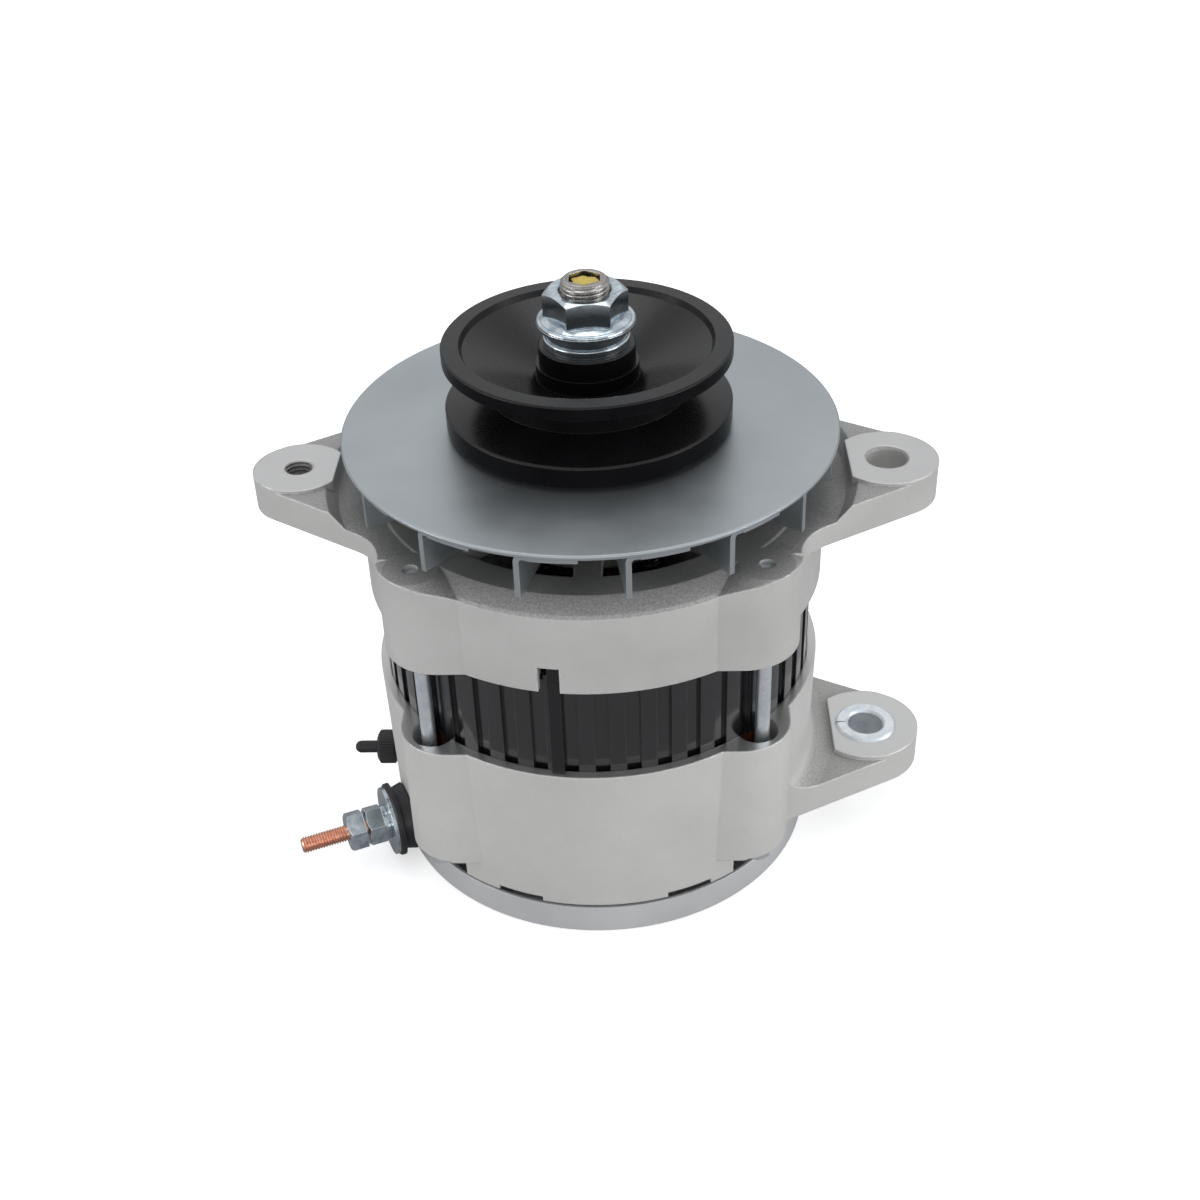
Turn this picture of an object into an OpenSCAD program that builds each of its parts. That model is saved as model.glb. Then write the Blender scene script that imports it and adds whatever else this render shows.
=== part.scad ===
// Heavy-duty belt-driven alternator, standing on its rear cover.
// The shaft runs along +Z; the origin is the centre of the rear cover's underside.
// The pivot lugs lie on +X and the adjusting lug on -X. All sizes are millimetres.

/* [Housing] */
// Outer radius of both end brackets beside the stator
housing_r = 79; // [77:0.5:84]
// Wall of the brackets between their ears
housing_wall = 5; // [3.5:0.5:6]
// Height of the rear cover's band
cover_h = 12.3; // [10:0.1:18]
// Outer radius of the rear cover
cover_r = 76.7; // [74:0.1:77]
// Sheet thickness of the rear cover
cover_sheet = 1.2; // [1:0.1:2]
// Gap between the rear cover's band and the rear bracket
cover_gap = 2.4; // [1.6:0.1:3]
// Height of the rear bracket
rear_h = 59.3; // [56:0.1:70]
// Draft of the rear bracket, taken off its radius at the cover
rear_draft = 1.3; // [0.5:0.1:1.8]
// Length of stator that shows between the two brackets
stator_show = 35; // [30:0.5:45]
// Height of the front bracket's skirt
skirt_h = 29.5; // [27:0.5:36]
// Rise of the front face above the edge of the skirt
face_rise = 3.5; // [2:0.5:5]
// Thickness of the front face
face_wall = 6; // [4:0.5:8]
// Radius at which the front face starts to slope down to its edge
face_r = 72; // [70:0.5:74]
// Height of the front bearing hub above the front face
hub_rise = 8; // [5:0.5:10]
// Outer radius of the front bearing hub
front_hub_r = 31; // [30:0.5:34]
// Air windows in each bracket's face
windows = 8; // [8]
// Inner radius of the air windows
window_r_in = 37; // [36:0.5:40]
// Outer radius of the air windows
window_r_out = 62; // [55:0.5:64]
// Width of the arms between the air windows
arm_w = 9; // [6:0.5:12]

/* [Ears and through bolts] */
// Radius of the circle of through bolts
bolt_circle_r = 79.5; // [79.5:0.1:80.5]
// Nominal diameter of the through bolts
bolt_d = 5; // [4:0.5:6]
// Half width of the square that the front bracket's ears follow
front_ear_half = 68; // [67:0.5:69]
// Corner radius of the front bracket's ears
front_ear_round = 19; // [16:0.5:20]
// Half width of the square that the rear bracket's ears follow
rear_ear_half = 66.5; // [66:0.5:68]
// Corner radius of the rear bracket's ears
rear_ear_round = 17; // [14:0.5:18]
// Height of the ears' underside above the rear bracket's lower edge
ear_lift = 9.8; // [8:0.2:12]
// Floor of the bolt pockets in the rear ears
ear_floor = 6; // [4:0.5:10]
// Radius of the bolt pockets in the rear ears
pocket_r = 5.3; // [4.5:0.1:5.5]
// Radius of the wider mouths of the bolt pockets
mouth_r = 7.2; // [6:0.1:7.4]
// How far the mouths lie inwards of the bolts
mouth_shift = 2.1; // [1.5:0.1:2.5]
// Width across flats of the bolt heads
bolt_head_af = 8; // [7:0.5:9]
// Height of the bolt heads
bolt_head_h = 5; // [3:0.1:5.5]
// Thickness of the washers under the bolt heads
bolt_washer_h = 1.3; // [0.8:0.1:2]

/* [Lugs] */
// Distance of the pivot and adjusting holes from the shaft
lug_reach = 100; // [97:0.5:106]
// Height of the front lugs' pads above the front face
pad_rise = 5; // [3:0.5:7]
// End radius of the front pivot lug
pivot_lug_r = 17.4; // [15:0.1:19]
// End radius of the tapped adjusting lug
adjust_lug_r = 15.8; // [14:0.1:18]
// Thickness of the front pivot lug
pivot_lug_t = 13; // [11:0.5:20]
// Thickness of the tapped adjusting lug
adjust_lug_t = 12.5; // [11:0.5:20]
// Half width of the lugs where they leave the housing
lug_root_half = 36; // [33:0.5:39]
// Radius of the hollow between the rear lug's top and the bracket's wall
root_blend_r = 8; // [5:0.5:10]
// Radius of the hollow that leads the front lugs' flanks into the ears
front_blend_r = 20; // [14:0.5:26]
// Radius of the hollow that leads the rear lug's flanks into the bracket
rear_blend_r = 8; // [5:0.5:12]
// Diameter of the hole in the front pivot lug
pivot_hole_d = 13.5; // [12:0.5:15]
// Diameter of the thread in the adjusting lug
adjust_thread_d = 10; // [8:0.5:12]
// End radius of the rear lug
rear_lug_r = 19.5; // [17:0.5:21]
// Thickness of the rear lug
rear_lug_t = 13; // [10:0.2:16]
// Height of the rear lug's underside above the rear bracket's lower edge
rear_lug_lift = 3.3; // [1:0.1:6]
// Height of the rear lug's machined pad
pad_t = 1.6; // [1:0.1:3]
// Distance from the lug holes' axes to the pads' straight inner edges
pad_edge = 13; // [12:0.5:15]
// Outer diameter of the pivot bush
bush_od = 22.6; // [20:0.2:24]
// Bore of the pivot bush
bush_id = 13; // [12:0.5:15]
// How far the pivot bush stands out of the lug on each side
bush_proud = 0.8; // [0.2:0.1:2]

/* [Stator and rotor] */
// Outer radius of the stator core over its ribs
stator_r = 75.7; // [74:0.1:75.8]
// Bore radius of the stator core
stator_bore_r = 54; // [52:0.5:56]
// Ribs around the outside of the stator core
ribs = 46; // [36:1:50]
// Depth of the grooves between the ribs
groove_depth = 1.5; // [0.8:0.1:2.5]
// Share of each rib pitch that is rib
rib_share = 0.53; // [0.4:0.01:0.65]
// Winding slots in the stator bore
slots = 36; // [24:12:36]
// Depth of the winding slots
slot_depth = 11; // [8:0.5:13]
// Depth of the stator's seat in the rear bracket
rear_seat = 2; // [1.5:0.5:4]
// Depth of the stator's seat in the front bracket
front_seat = 4; // [2:0.5:6]
// Height of the winding's heads beyond the stator core
winding_head = 13; // [9:0.5:14]
// Air gap between the rotor and the stator
air_gap = 0.4; // [0.3:0.1:0.8]
// Claws on each pole piece
claws = 8; // [6:1:8]
// Radial thickness of the claws
claw_t = 8.5; // [7:0.5:9]
// Thickness of the pole disc
pole_disc_t = 10; // [8:0.5:12]
// Width of a claw at its root
claw_root_w = 18; // [14:0.5:19]
// Width of a claw at its tip
claw_tip_w = 10; // [8:0.5:12]
// Radius of the rotor's iron hub
rotor_hub_r = 17.5; // [15:0.5:18]
// Running gap between the field core and the rotor
field_gap = 0.6; // [0.4:0.1:1.2]
// Wall of the fixed field core
field_core_wall = 6; // [4:0.5:8]

/* [Shaft and bearings] */
// Shaft diameter at the pulley and the front bearing
shaft_d = 17; // [16.5:0.1:18]
// Thread diameter at the pulley nut
thread_d = 16; // [14:0.5:16]
// Length of thread that stands above the nut
thread_show = 3.9; // [1:0.1:8]
// Width across flats of the hexagon socket in the shaft's end
socket_af = 8; // [6:0.5:10]
// Depth of the hexagon socket in the shaft's end
socket_depth = 5; // [3:0.5:8]
// Outer diameter of the front bearing
front_bearing_od = 47; // [45:0.5:50]
// Width of the front bearing
front_bearing_w = 14; // [12:0.5:15]
// Ball diameter of the front bearing
front_ball_d = 9.5; // [8:0.1:10]
// Balls in the front bearing
front_balls_n = 7; // [6:1:8]
// Shaft diameter at the rear bearing
rear_shaft_d = 15; // [14:0.5:16]
// Outer diameter of the rear bearing
rear_bearing_od = 35; // [33:0.5:37]
// Width of the rear bearing
rear_bearing_w = 11; // [10:0.5:12]
// Ball diameter of the rear bearing
rear_ball_d = 6; // [5:0.1:6.5]
// Balls in the rear bearing
rear_balls_n = 8; // [7:1:9]

/* [Fan] */
// Radius of the fan's disc
fan_r = 83; // [78:0.5:84]
// Sheet thickness of the fan's disc and blades
fan_sheet = 1.8; // [1.2:0.1:2.5]
// Fan blades
blades = 15; // [9:1:15]
// Inner radius of the blades
blade_r_in = 50; // [45:0.5:60]
// Outer radius of the blades
blade_r_out = 81.5; // [76:0.5:82]
// Depth of the blades below their plate
blade_depth = 13.8; // [10:0.2:18]
// Bearing of the first blade
blade_start = -33.3; // [-45:0.1:0]
// Angle that each blade's tab covers under the disc
tab_angle = 12; // [8:0.5:14]
// Gap between the blades and the bracket's front face
fan_gap = 4; // [3:0.5:8]

/* [Pulley and nut] */
// Radius of the pulley's flanges
pulley_r = 47.6; // [45:0.1:50]
// Height of the pulley's boss below its lower flange
boss_drop = 1.9; // [0.5:0.1:4]
// Thickness of the pulley's lower flange at its edge
lower_flange_t = 7; // [4:0.5:9]
// Width of the belt groove at the flanges' edges
groove_w = 16; // [13:0.5:17]
// Depth of the belt groove
groove_d = 14; // [11:0.5:15]
// Angle between the belt groove's flanks
groove_angle = 36; // [34:1:38]
// Thickness of the pulley's upper flange at its edge
upper_flange_t = 5.1; // [4:0.1:7]
// Radius of the pulley's front dish
dish_r = 41.7; // [40:0.1:43]
// Height of the pulley's hub below its front rim
hub_sink = 7.7; // [6:0.1:9]
// Depth of the dish at the hub below the front rim
dish_depth = 12.6; // [11:0.1:13.5]
// Radius of the pulley's hub
pulley_hub_r = 17; // [16.5:0.1:19]
// Radius of the black collar on the hub
collar_r = 15.9; // [14.5:0.1:16.4]
// Height of the black collar on the hub
collar_h = 6.6; // [4:0.1:8]
// Width of the key in the shaft
key_w = 5; // [4:0.5:6]
// Length of the key in the shaft
key_l = 14; // [10:0.5:16]
// Radius of the plain washer
washer_r = 14.2; // [13:0.1:15.5]
// Thickness of the plain washer
washer_h = 2.9; // [2:0.1:4]
// Radius of the spring washer
spring_washer_r = 13.3; // [12:0.1:14]
// Thickness of the spring washer
spring_washer_h = 3.9; // [3:0.1:5]
// Radius of the nut's flange
nut_flange_r = 16.2; // [15:0.1:17.5]
// Height of the nut's flange
nut_flange_h = 2.8; // [2:0.1:4]
// Width across flats of the pulley nut
nut_af = 24; // [22:0.5:26]
// Height of the pulley nut's hexagon
nut_h = 8.7; // [8:0.1:14]

/* [Terminals] */
// Bearing of the output terminal
output_angle = -156.5; // [-160:0.5:-150]
// Height of the output terminal
output_z = 15.4; // [14.5:0.1:17]
// Diameter of the output terminal's stud
stud_d = 6; // [5:0.5:7]
// Diameter at which the nuts' threads grip the stud
stud_grip_d = 5.4; // [4.5:0.1:5.6]
// Distance of the stud's tip from the shaft
stud_reach = 118.8; // [112:0.1:122]
// Radius of the insulator's body
insulator_r = 12.6; // [11:0.1:13]
// Radius of the insulator's flange
insulator_flange_r = 13.6; // [13.2:0.1:14.5]
// Width across flats of the terminal nuts
terminal_nut_af = 13; // [11:0.5:14]
// Height of each terminal nut
terminal_nut_h = 6.3; // [5:0.1:7]
// Radius of the terminal's flat washer
terminal_washer_r = 12.7; // [10:0.1:13]
// Bearing of the sensing terminal
sense_angle = 180; // [176:0.5:184]
// Height of the sensing terminal
sense_z = 22.4; // [22.4:0.1:26]
// Radius of the sensing terminal's knurled collar
sense_collar_r = 6.5; // [5.5:0.1:7]
// Length of the sensing terminal's knurled collar
sense_collar_l = 8; // [6:0.5:10]
// Radius of the sensing terminal's cap
sense_cap_r = 2.35; // [2:0.05:3]
// Length of the sensing terminal's cap
sense_cap_l = 9; // [6:0.5:12]

/* [Hidden] */
$fn = 96;

// Named clearances
// seat: pressed or clamped pieces; slip: bolts in their holes; run: balls in their tracks;
// cut: overshoot of a cutting solid; blend_bite: how deep a lug's hollow runs into the wall
seat = 0.02;
slip = 0.25;
run = 0.15;
cut = 1;
blend_bite = 0.5;

// Levels up the shaft
rear_z0 = cover_h + cover_gap;
rear_z1 = rear_z0 + rear_h;
front_z0 = rear_z1 + stator_show;
lip_z = front_z0 + skirt_h;
face_z = lip_z + face_rise;
hub_z = face_z + hub_rise;
blade_z = face_z + fan_gap;
plate_z = blade_z + blade_depth;
disc_z = plate_z + fan_sheet;
boss_z = disc_z + fan_sheet;
flange_z = boss_z + boss_drop;
groove_z = flange_z + lower_flange_t;
rim_z = groove_z + groove_w + upper_flange_t;
hub_top_z = rim_z - hub_sink;
collar_z1 = hub_top_z + collar_h;
washer_z1 = collar_z1 + washer_h;
nut_z = washer_z1 + spring_washer_h;
hex_z = nut_z + nut_flange_h;
nut_z1 = hex_z + nut_h;
shaft_z1 = nut_z1 + thread_show;

// Levels of the stator, the bearings and the inner pieces
stack_z0 = rear_z1 - rear_seat;
stack_z1 = front_z0 + front_seat;
head_r_in = stator_bore_r + 2.5;
head_r_out = housing_r - housing_wall - 3;
hub_lip_t = 12;
front_bearing_z1 = hub_z - hub_lip_t;
front_bearing_z0 = front_bearing_z1 - front_bearing_w;
retainer_t = 3;
retainer_z0 = front_bearing_z0 - retainer_t;
web_t = 6;
web_z1 = stack_z0 - winding_head - 2;
web_z0 = web_z1 - web_t;
winding_clear = 0.3;
winding_slot_w = PI * stator_bore_r / slots;
rear_bearing_z1 = web_z0 - 5;
rear_bearing_z0 = rear_bearing_z1 - rear_bearing_w;
rear_hub_floor = 4;
rear_hub_z0 = rear_bearing_z0 - rear_hub_floor;
rear_hub_r = rear_bearing_od / 2 + 5;
front_pitch_r = (shaft_d + front_bearing_od) / 4;
front_mid_z = front_bearing_z0 + front_bearing_w / 2;
rear_pitch_r = (rear_shaft_d + rear_bearing_od) / 4;
rear_mid_z = rear_bearing_z0 + rear_bearing_w / 2;

// Rotor and field
rotor_r = stator_bore_r - air_gap;
claw_r_in = rotor_r - claw_t;
pole_z1 = stack_z1 + 2;
pole_z0 = stack_z0 - 2;
pole_disc_z0 = pole_z1 - pole_disc_t;
ring_pole_t = 9;
ring_pole_r_in = claw_r_in - 3.8;
joint_ring_h = 6;
joint_ring_z0 = (pole_z0 + pole_z1 - joint_ring_h) / 2;
rotor_hub_z0 = pole_z0 + 2;
field_flange_t = 7;
field_r_in = rotor_hub_r + field_gap;
field_tube_r = field_r_in + field_core_wall;
field_r_out = ring_pole_r_in - 1.4;
field_z1 = pole_disc_z0 - 3;
core_shaft_r = shaft_d / 2 + 1.8;

// Bolts, pads and lugs
bolt_r = bolt_d / 2;
ear_z0 = rear_z0 + ear_lift;
bolt_seat_z = ear_z0 + 0.5;
mouth_z = web_z1 + 2;
notch_half = 10.2;
front_ear_at = [front_ear_half - front_ear_round, front_ear_half - front_ear_round];
front_ear_wall = front_ear_round - blend_bite;
ear_angles = [45, 135, 225, 315];
lug_pad_z = face_z + pad_rise;
terrace_z = lug_pad_z - 1;
fan_dip_r = fan_r + 3;
fan_dip_run = 4;
rear_lug_z0 = rear_z0 + rear_lug_lift;
rear_pad_z = rear_lug_z0 + rear_lug_t;
rear_lug_top_z = rear_pad_z - pad_t;
rear_wall_r = housing_r - rear_draft;
inner_r = housing_r - housing_wall;

// Cover and rectifier
dimple_r = 7;
dimple_h = 3.5;
cover_screw_circle = 62;
cover_screw_angles = [22.5, 112.5, 247.5, 337.5];
cover_screw_d = 5;
boss_floor_z = dimple_h + cover_sheet;
boss_r = 5.5;
cover_screw_grip = 10;
plate_t = 3;
negative_r_in = 40;
negative_r_out = inner_r - 6;
negative_span = [30, 330];
positive_r_in = 36;
positive_span = [130, 320];
negative_z = web_z0 - 9;
positive_z = output_z + 3;
diode_r = 5.5;
diode_circle = 50;
diode_angles = [150, 228, 292];
post_angles = [90, 180, 315];
post_circle = 55;
post_r = 4;
post_screw_d = 4;
field_screw_angles = [0, 90, 180, 270];
field_screw_circle = 31;
field_screw_d = 5;
retainer_screw_circle = front_hub_r - 3.7;
retainer_screw_d = 4;
retainer_screw_grip = 8;
retainer_screw_head_r = 3.4;
retainer_screw_head_h = 2.4;
slot_angle = -99.4;
strip_angle = -98.6;
vent_turn = 1.7;
key_z = flange_z + 3;
wall_r_at_output = rear_wall_r + rear_draft * (output_z - rear_z0) / rear_h;
stud_seat_r = 66;
stud_head_af = 10;
stud_head_h = 4;
sense_stem_r = 3;
sense_r0 = rear_wall_r + rear_draft * (sense_z + sense_collar_r - rear_z0) / rear_h + 0.05;

// Output terminal, outwards along the stud
insulator_l = 5.2;
insulator_neck_r = insulator_r - 3;
insulator_flange_t = 2;
insulator_r1 = wall_r_at_output + insulator_l + insulator_flange_t;
terminal_washer_t = 1.5;
terminal_spring_t = 1.9;
inner_nut_r = insulator_r1 + terminal_washer_t + terminal_spring_t;
outer_nut_r = inner_nut_r + terminal_nut_h + 0.8;
stud_free_r = outer_nut_r + terminal_nut_h + 0.5;

// Small helpers
module tube(r_in, r_out, z0, z1) {
    translate([0, 0, z0])
        difference() {
            cylinder(r = r_out, h = z1 - z0);
            translate([0, 0, -cut]) cylinder(r = r_in, h = z1 - z0 + 2 * cut);
        }
}

module rod(r, z0, z1) {
    translate([0, 0, z0]) cylinder(r = r, h = z1 - z0);
}

module hex_prism(af, z0, z1) {
    translate([0, 0, z0]) cylinder(r = af / sqrt(3), h = z1 - z0, $fn = 6);
}

// A hexagon with its corners turned off by cones, as on a real nut
module turned_hex(af, z0, z1) {
    corner = af / sqrt(3);
    chamfer = (corner - af / 2) * 1.1;
    intersection() {
        hex_prism(af, z0, z1);
        translate([0, 0, z0])
            rotate_extrude()
                polygon([[0, 0], [corner + seat, 0], [corner + seat, z1 - z0 - chamfer * 0.6],
                         [corner - chamfer, z1 - z0], [0, z1 - z0]]);
    }
}

module at_ears() {
    for (a = ear_angles)
        rotate(a) translate([bolt_circle_r, 0, 0]) children();
}

module along_output() {
    rotate(output_angle) translate([0, 0, output_z]) rotate([0, 90, 0]) children();
}

module along_sense() {
    rotate(sense_angle) translate([0, 0, sense_z]) rotate([0, 90, 0]) children();
}

// A square with round corners, by four discs and two bars
module round_square(half, r) {
    square([2 * half, 2 * (half - r)], center = true);
    square([2 * (half - r), 2 * half], center = true);
    for (x = [-1, 1], y = [-1, 1])
        translate([x * (half - r), y * (half - r)]) circle(r = r);
}

// Sector of a plane, centred on the x axis
module sector(r, angle) {
    polygon([[0, 0], [r, -r * tan(angle / 2)], [r, r * tan(angle / 2)]]);
}

// Air windows between the arms of a face
module windows_2d(r_in, r_out) {
    difference() {
        circle(r = r_out);
        circle(r = r_in);
        for (i = [0 : windows / 2 - 1])
            rotate(i * 360 / windows) square([3 * r_out, arm_w], center = true);
    }
}

// Angle between a lug's flank and the line from the shaft to its hole
function flank_angle(end_r) =
    let (reach = lug_reach - inner_r)
    acos(end_r / sqrt(pow(reach, 2) + pow(lug_root_half, 2))) - atan(reach / lug_root_half);

// How far along its flank a hollow of radius r touches, when it also reaches the round wall
// of radius wall_r whose centre is wall_at
function blend_run(end_r, r, wall_at, wall_r) =
    let (a = flank_angle(end_r),
         q = [lug_reach, 0] + (end_r + r) * [sin(a), cos(a)] - wall_at,
         along = q * [-cos(a), sin(a)])
    -along - sqrt(max(0, pow(along, 2) - q * q + pow(wall_r + r, 2)));

// Points of a lug's outline on its +Y side: where the flank leaves the round end, where it
// meets the hollow, the hollow's centre, and where the hollow meets the round wall
function flank_normal(end_r) = [sin(flank_angle(end_r)), cos(flank_angle(end_r))];
function end_touch(end_r) = [lug_reach, 0] + end_r * flank_normal(end_r);
function flank_touch(end_r, r, wall_at, wall_r) =
    let (a = flank_angle(end_r))
    end_touch(end_r) + blend_run(end_r, r, wall_at, wall_r) * [-cos(a), sin(a)];
function blend_centre(end_r, r, wall_at, wall_r) =
    flank_touch(end_r, r, wall_at, wall_r) + r * flank_normal(end_r);
function wall_touch(end_r, r, wall_at, wall_r) =
    wall_at + (blend_centre(end_r, r, wall_at, wall_r) - wall_at) * wall_r / (wall_r + r);

// Outline of a lug: a round end, straight flanks, and round hollows into the wall
module lug_2d(end_r, blend_r, wall_at, wall_r) {
    end = end_touch(end_r);
    flank = flank_touch(end_r, blend_r, wall_at, wall_r);
    centre = blend_centre(end_r, blend_r, wall_at, wall_r);
    wall = wall_touch(end_r, blend_r, wall_at, wall_r);
    root_x = wall[0] - 12;
    translate([lug_reach, 0]) circle(r = end_r);
    difference() {
        polygon([[root_x, -wall[1]], [wall[0], -wall[1]], [flank[0], -flank[1]],
                 [end[0], -end[1]], end, flank, wall, [root_x, wall[1]]]);
        translate(centre) circle(r = blend_r);
        translate([centre[0], -centre[1]]) circle(r = blend_r);
    }
}

// Round pad of a lug with a straight inner edge; the guard reaches just past the lug's end
module pad_2d(end_r) {
    guard = 0.3;
    intersection() {
        translate([lug_reach, 0]) circle(r = end_r + guard);
        translate([lug_reach - pad_edge, -end_r - cut])
            square([pad_edge + end_r + cut, 2 * (end_r + cut)]);
    }
}

// Front bracket

// A front lug: flat underside, a raised pad, and a top that dips round the fan
module front_lug(thick, end_r) {
    under = lug_pad_z - thick;
    dip_z = face_z - 0.4;
    far_r = lug_reach + end_r + 3;
    difference() {
        translate([0, 0, under])
            linear_extrude(thick) lug_2d(end_r, front_blend_r, front_ear_at, front_ear_wall);
        difference() {
            rotate_extrude()
                polygon([[0, dip_z], [fan_dip_r, dip_z], [fan_dip_r + fan_dip_run, terrace_z],
                         [far_r, terrace_z], [far_r, lug_pad_z + cut], [0, lug_pad_z + cut]]);
            linear_extrude(lug_pad_z + 2 * cut) pad_2d(end_r);
        }
    }
}

module front_bracket() {
    slot_w = 7;
    slot_h = 9.4;
    cone_drop = 1.5;
    color([0.72, 0.71, 0.70])
    difference() {
        union() {
            // Skirt, sloping edge and face
            rotate_extrude()
                polygon([[0, front_z0], [housing_r, front_z0], [housing_r, lip_z - 1],
                         [housing_r - 1, lip_z], [face_r, face_z], [0, face_z]]);
            // Bearing hub with a coned foot
            translate([0, 0, face_z])
                cylinder(r1 = front_hub_r + 3, r2 = front_hub_r, h = 3);
            rod(front_hub_r, face_z, hub_z);
            // Ears, with a low cone round each tapped hole
            intersection() {
                translate([0, 0, front_z0])
                    linear_extrude(face_z - front_z0) round_square(front_ear_half, front_ear_round);
                union() {
                    rod(bolt_circle_r + front_ear_round, front_z0, lip_z - cone_drop);
                    at_ears()
                        translate([0, 0, lip_z - cone_drop])
                            cylinder(r1 = front_ear_round + 3, r2 = front_ear_round - 10,
                                     h = face_rise + cone_drop);
                }
            }
            front_lug(pivot_lug_t, pivot_lug_r);
            rotate(180) front_lug(adjust_lug_t, adjust_lug_r);
        }
        // Seat of the stator and the hollow above it
        translate([0, 0, front_z0 - cut]) cylinder(r = stator_r + seat, h = front_seat + cut);
        difference() {
            rod(inner_r, front_z0, face_z - face_wall);
            rod(front_hub_r, retainer_z0 + retainer_t, face_z);
        }
        // Bearing bore and the passage of the spacer
        rod(front_bearing_od / 2 + seat, front_z0, front_bearing_z1);
        rod(shaft_d / 2 + 5, front_z0, hub_z + cut);
        // Air windows
        translate([0, 0, face_z - face_wall - cut])
            linear_extrude(face_wall + 2 * cut) windows_2d(window_r_in, window_r_out);
        // Tapped holes of the through bolts
        at_ears() rod(bolt_r + seat, front_z0 - cut, face_z + cut);
        // Holes of the lugs
        translate([lug_reach, 0, 0]) rod(pivot_hole_d / 2, front_z0, lug_pad_z + cut);
        translate([lug_reach, 0, lug_pad_z - 0.8])
            cylinder(r1 = pivot_hole_d / 2, r2 = pivot_hole_d / 2 + 1.2, h = 1.2);
        translate([-lug_reach, 0, 0]) rod(adjust_thread_d / 2, front_z0, lug_pad_z + cut);
        // Holes of the retainer's screws
        for (a = [0 : 90 : 270])
            rotate(a + 45) translate([retainer_screw_circle, 0, 0])
                rod(retainer_screw_d / 2 + seat, front_z0, front_bearing_z0 + 9);
        // Slot above the stator's strip
        rotate(slot_angle)
            translate([inner_r - 2, -slot_w / 2, front_z0 - cut])
                cube([housing_wall + 4, slot_w, slot_h + cut]);
    }
}

// Rear bracket

// Space above the rear lug, with a round hollow that climbs to the wall
module above_rear_lug() {
    wall_r = rear_wall_r + rear_draft * (rear_lug_top_z + root_blend_r - rear_z0) / rear_h;
    flush = 1;
    far_r = lug_reach + rear_lug_r + cut;
    top_z = rear_lug_top_z + root_blend_r;
    rotate_extrude()
        intersection() {
            union() {
                translate([wall_r + root_blend_r + flush, top_z + flush])
                    circle(r = norm([flush, root_blend_r + flush]));
                translate([wall_r + root_blend_r, rear_lug_top_z])
                    square([far_r - wall_r - root_blend_r, root_blend_r + 2 * cut]);
            }
            translate([wall_r, rear_lug_top_z]) square([far_r - wall_r, root_blend_r + 2 * cut]);
        }
}

module rear_lug() {
    wall_r = rear_wall_r - blend_bite;
    difference() {
        translate([0, 0, rear_lug_z0]) linear_extrude(rear_lug_t - pad_t + root_blend_r)
            lug_2d(rear_lug_r, rear_blend_r, [0, 0], wall_r);
        difference() {
            above_rear_lug();
            linear_extrude(rear_pad_z) pad_2d(rear_lug_r);
        }
    }
}

// Wall, ears and web of the rear bracket, before its bosses and threads
module rear_casting() {
    vent_h = 1.9;
    vent_angle = 12.4;
    difference() {
        union() {
            // Drafted outer wall
            rotate_extrude()
                polygon([[0, rear_z0], [rear_wall_r, rear_z0], [housing_r, rear_z1], [0, rear_z1]]);
            // Ears
            translate([0, 0, ear_z0])
                linear_extrude(rear_z1 - ear_z0) round_square(rear_ear_half, rear_ear_round);
            rear_lug();
        }
        // Seat of the stator, and the hollows above and below the web
        rod(stator_r + seat, stack_z0, rear_z1 + cut);
        rod(inner_r - 1, web_z1, rear_z1);
        difference() {
            rod(rear_wall_r - housing_wall, rear_z0 - cut, web_z0);
            rod(rear_hub_r, rear_hub_z0, web_z0 + cut);
        }
        // Bearing bore, open to the rotor
        rod(rear_bearing_od / 2 + seat, rear_bearing_z0, web_z1 + cut);
        // Air windows in the web
        translate([0, 0, web_z0 - cut])
            linear_extrude(web_t + 2 * cut) windows_2d(field_r_out + 4, window_r_out);
        // Bolt pockets with their wider mouths and their floors
        at_ears() rod(pocket_r, ear_z0 + ear_floor, rear_z1 + cut);
        at_ears() translate([-mouth_shift, 0, 0]) rod(mouth_r, mouth_z, rear_z1 + cut);
        at_ears() rod(bolt_r + slip, ear_z0 - cut, rear_z1);
        // Spot faces under the ears and the air slots in the lower edge
        for (a = ear_angles)
            rotate(a) translate([inner_r - 8, -notch_half, rear_z0 - cut])
                cube([housing_wall + 25, 2 * notch_half, bolt_seat_z - rear_z0 + cut]);
        for (i = [0 : 7])
            rotate((i + 0.5) * 45 + vent_turn)
                translate([0, 0, rear_z0 - cut])
                    linear_extrude(vent_h + cut)
                        difference() {
                            sector(housing_r + 4, vent_angle);
                            circle(r = cover_screw_circle + boss_r + 1.5);
                        }
        // Hole of the pivot bush
        translate([lug_reach, 0, 0]) rod(bush_od / 2 + seat, rear_lug_z0 - cut, rear_pad_z + cut);
        // Openings of the terminals
        along_output() rod(insulator_neck_r + seat, inner_r - 8, housing_r + 10);
        along_sense() rod(sense_stem_r + seat, inner_r - 8, housing_r + 1);
    }
}

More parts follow.
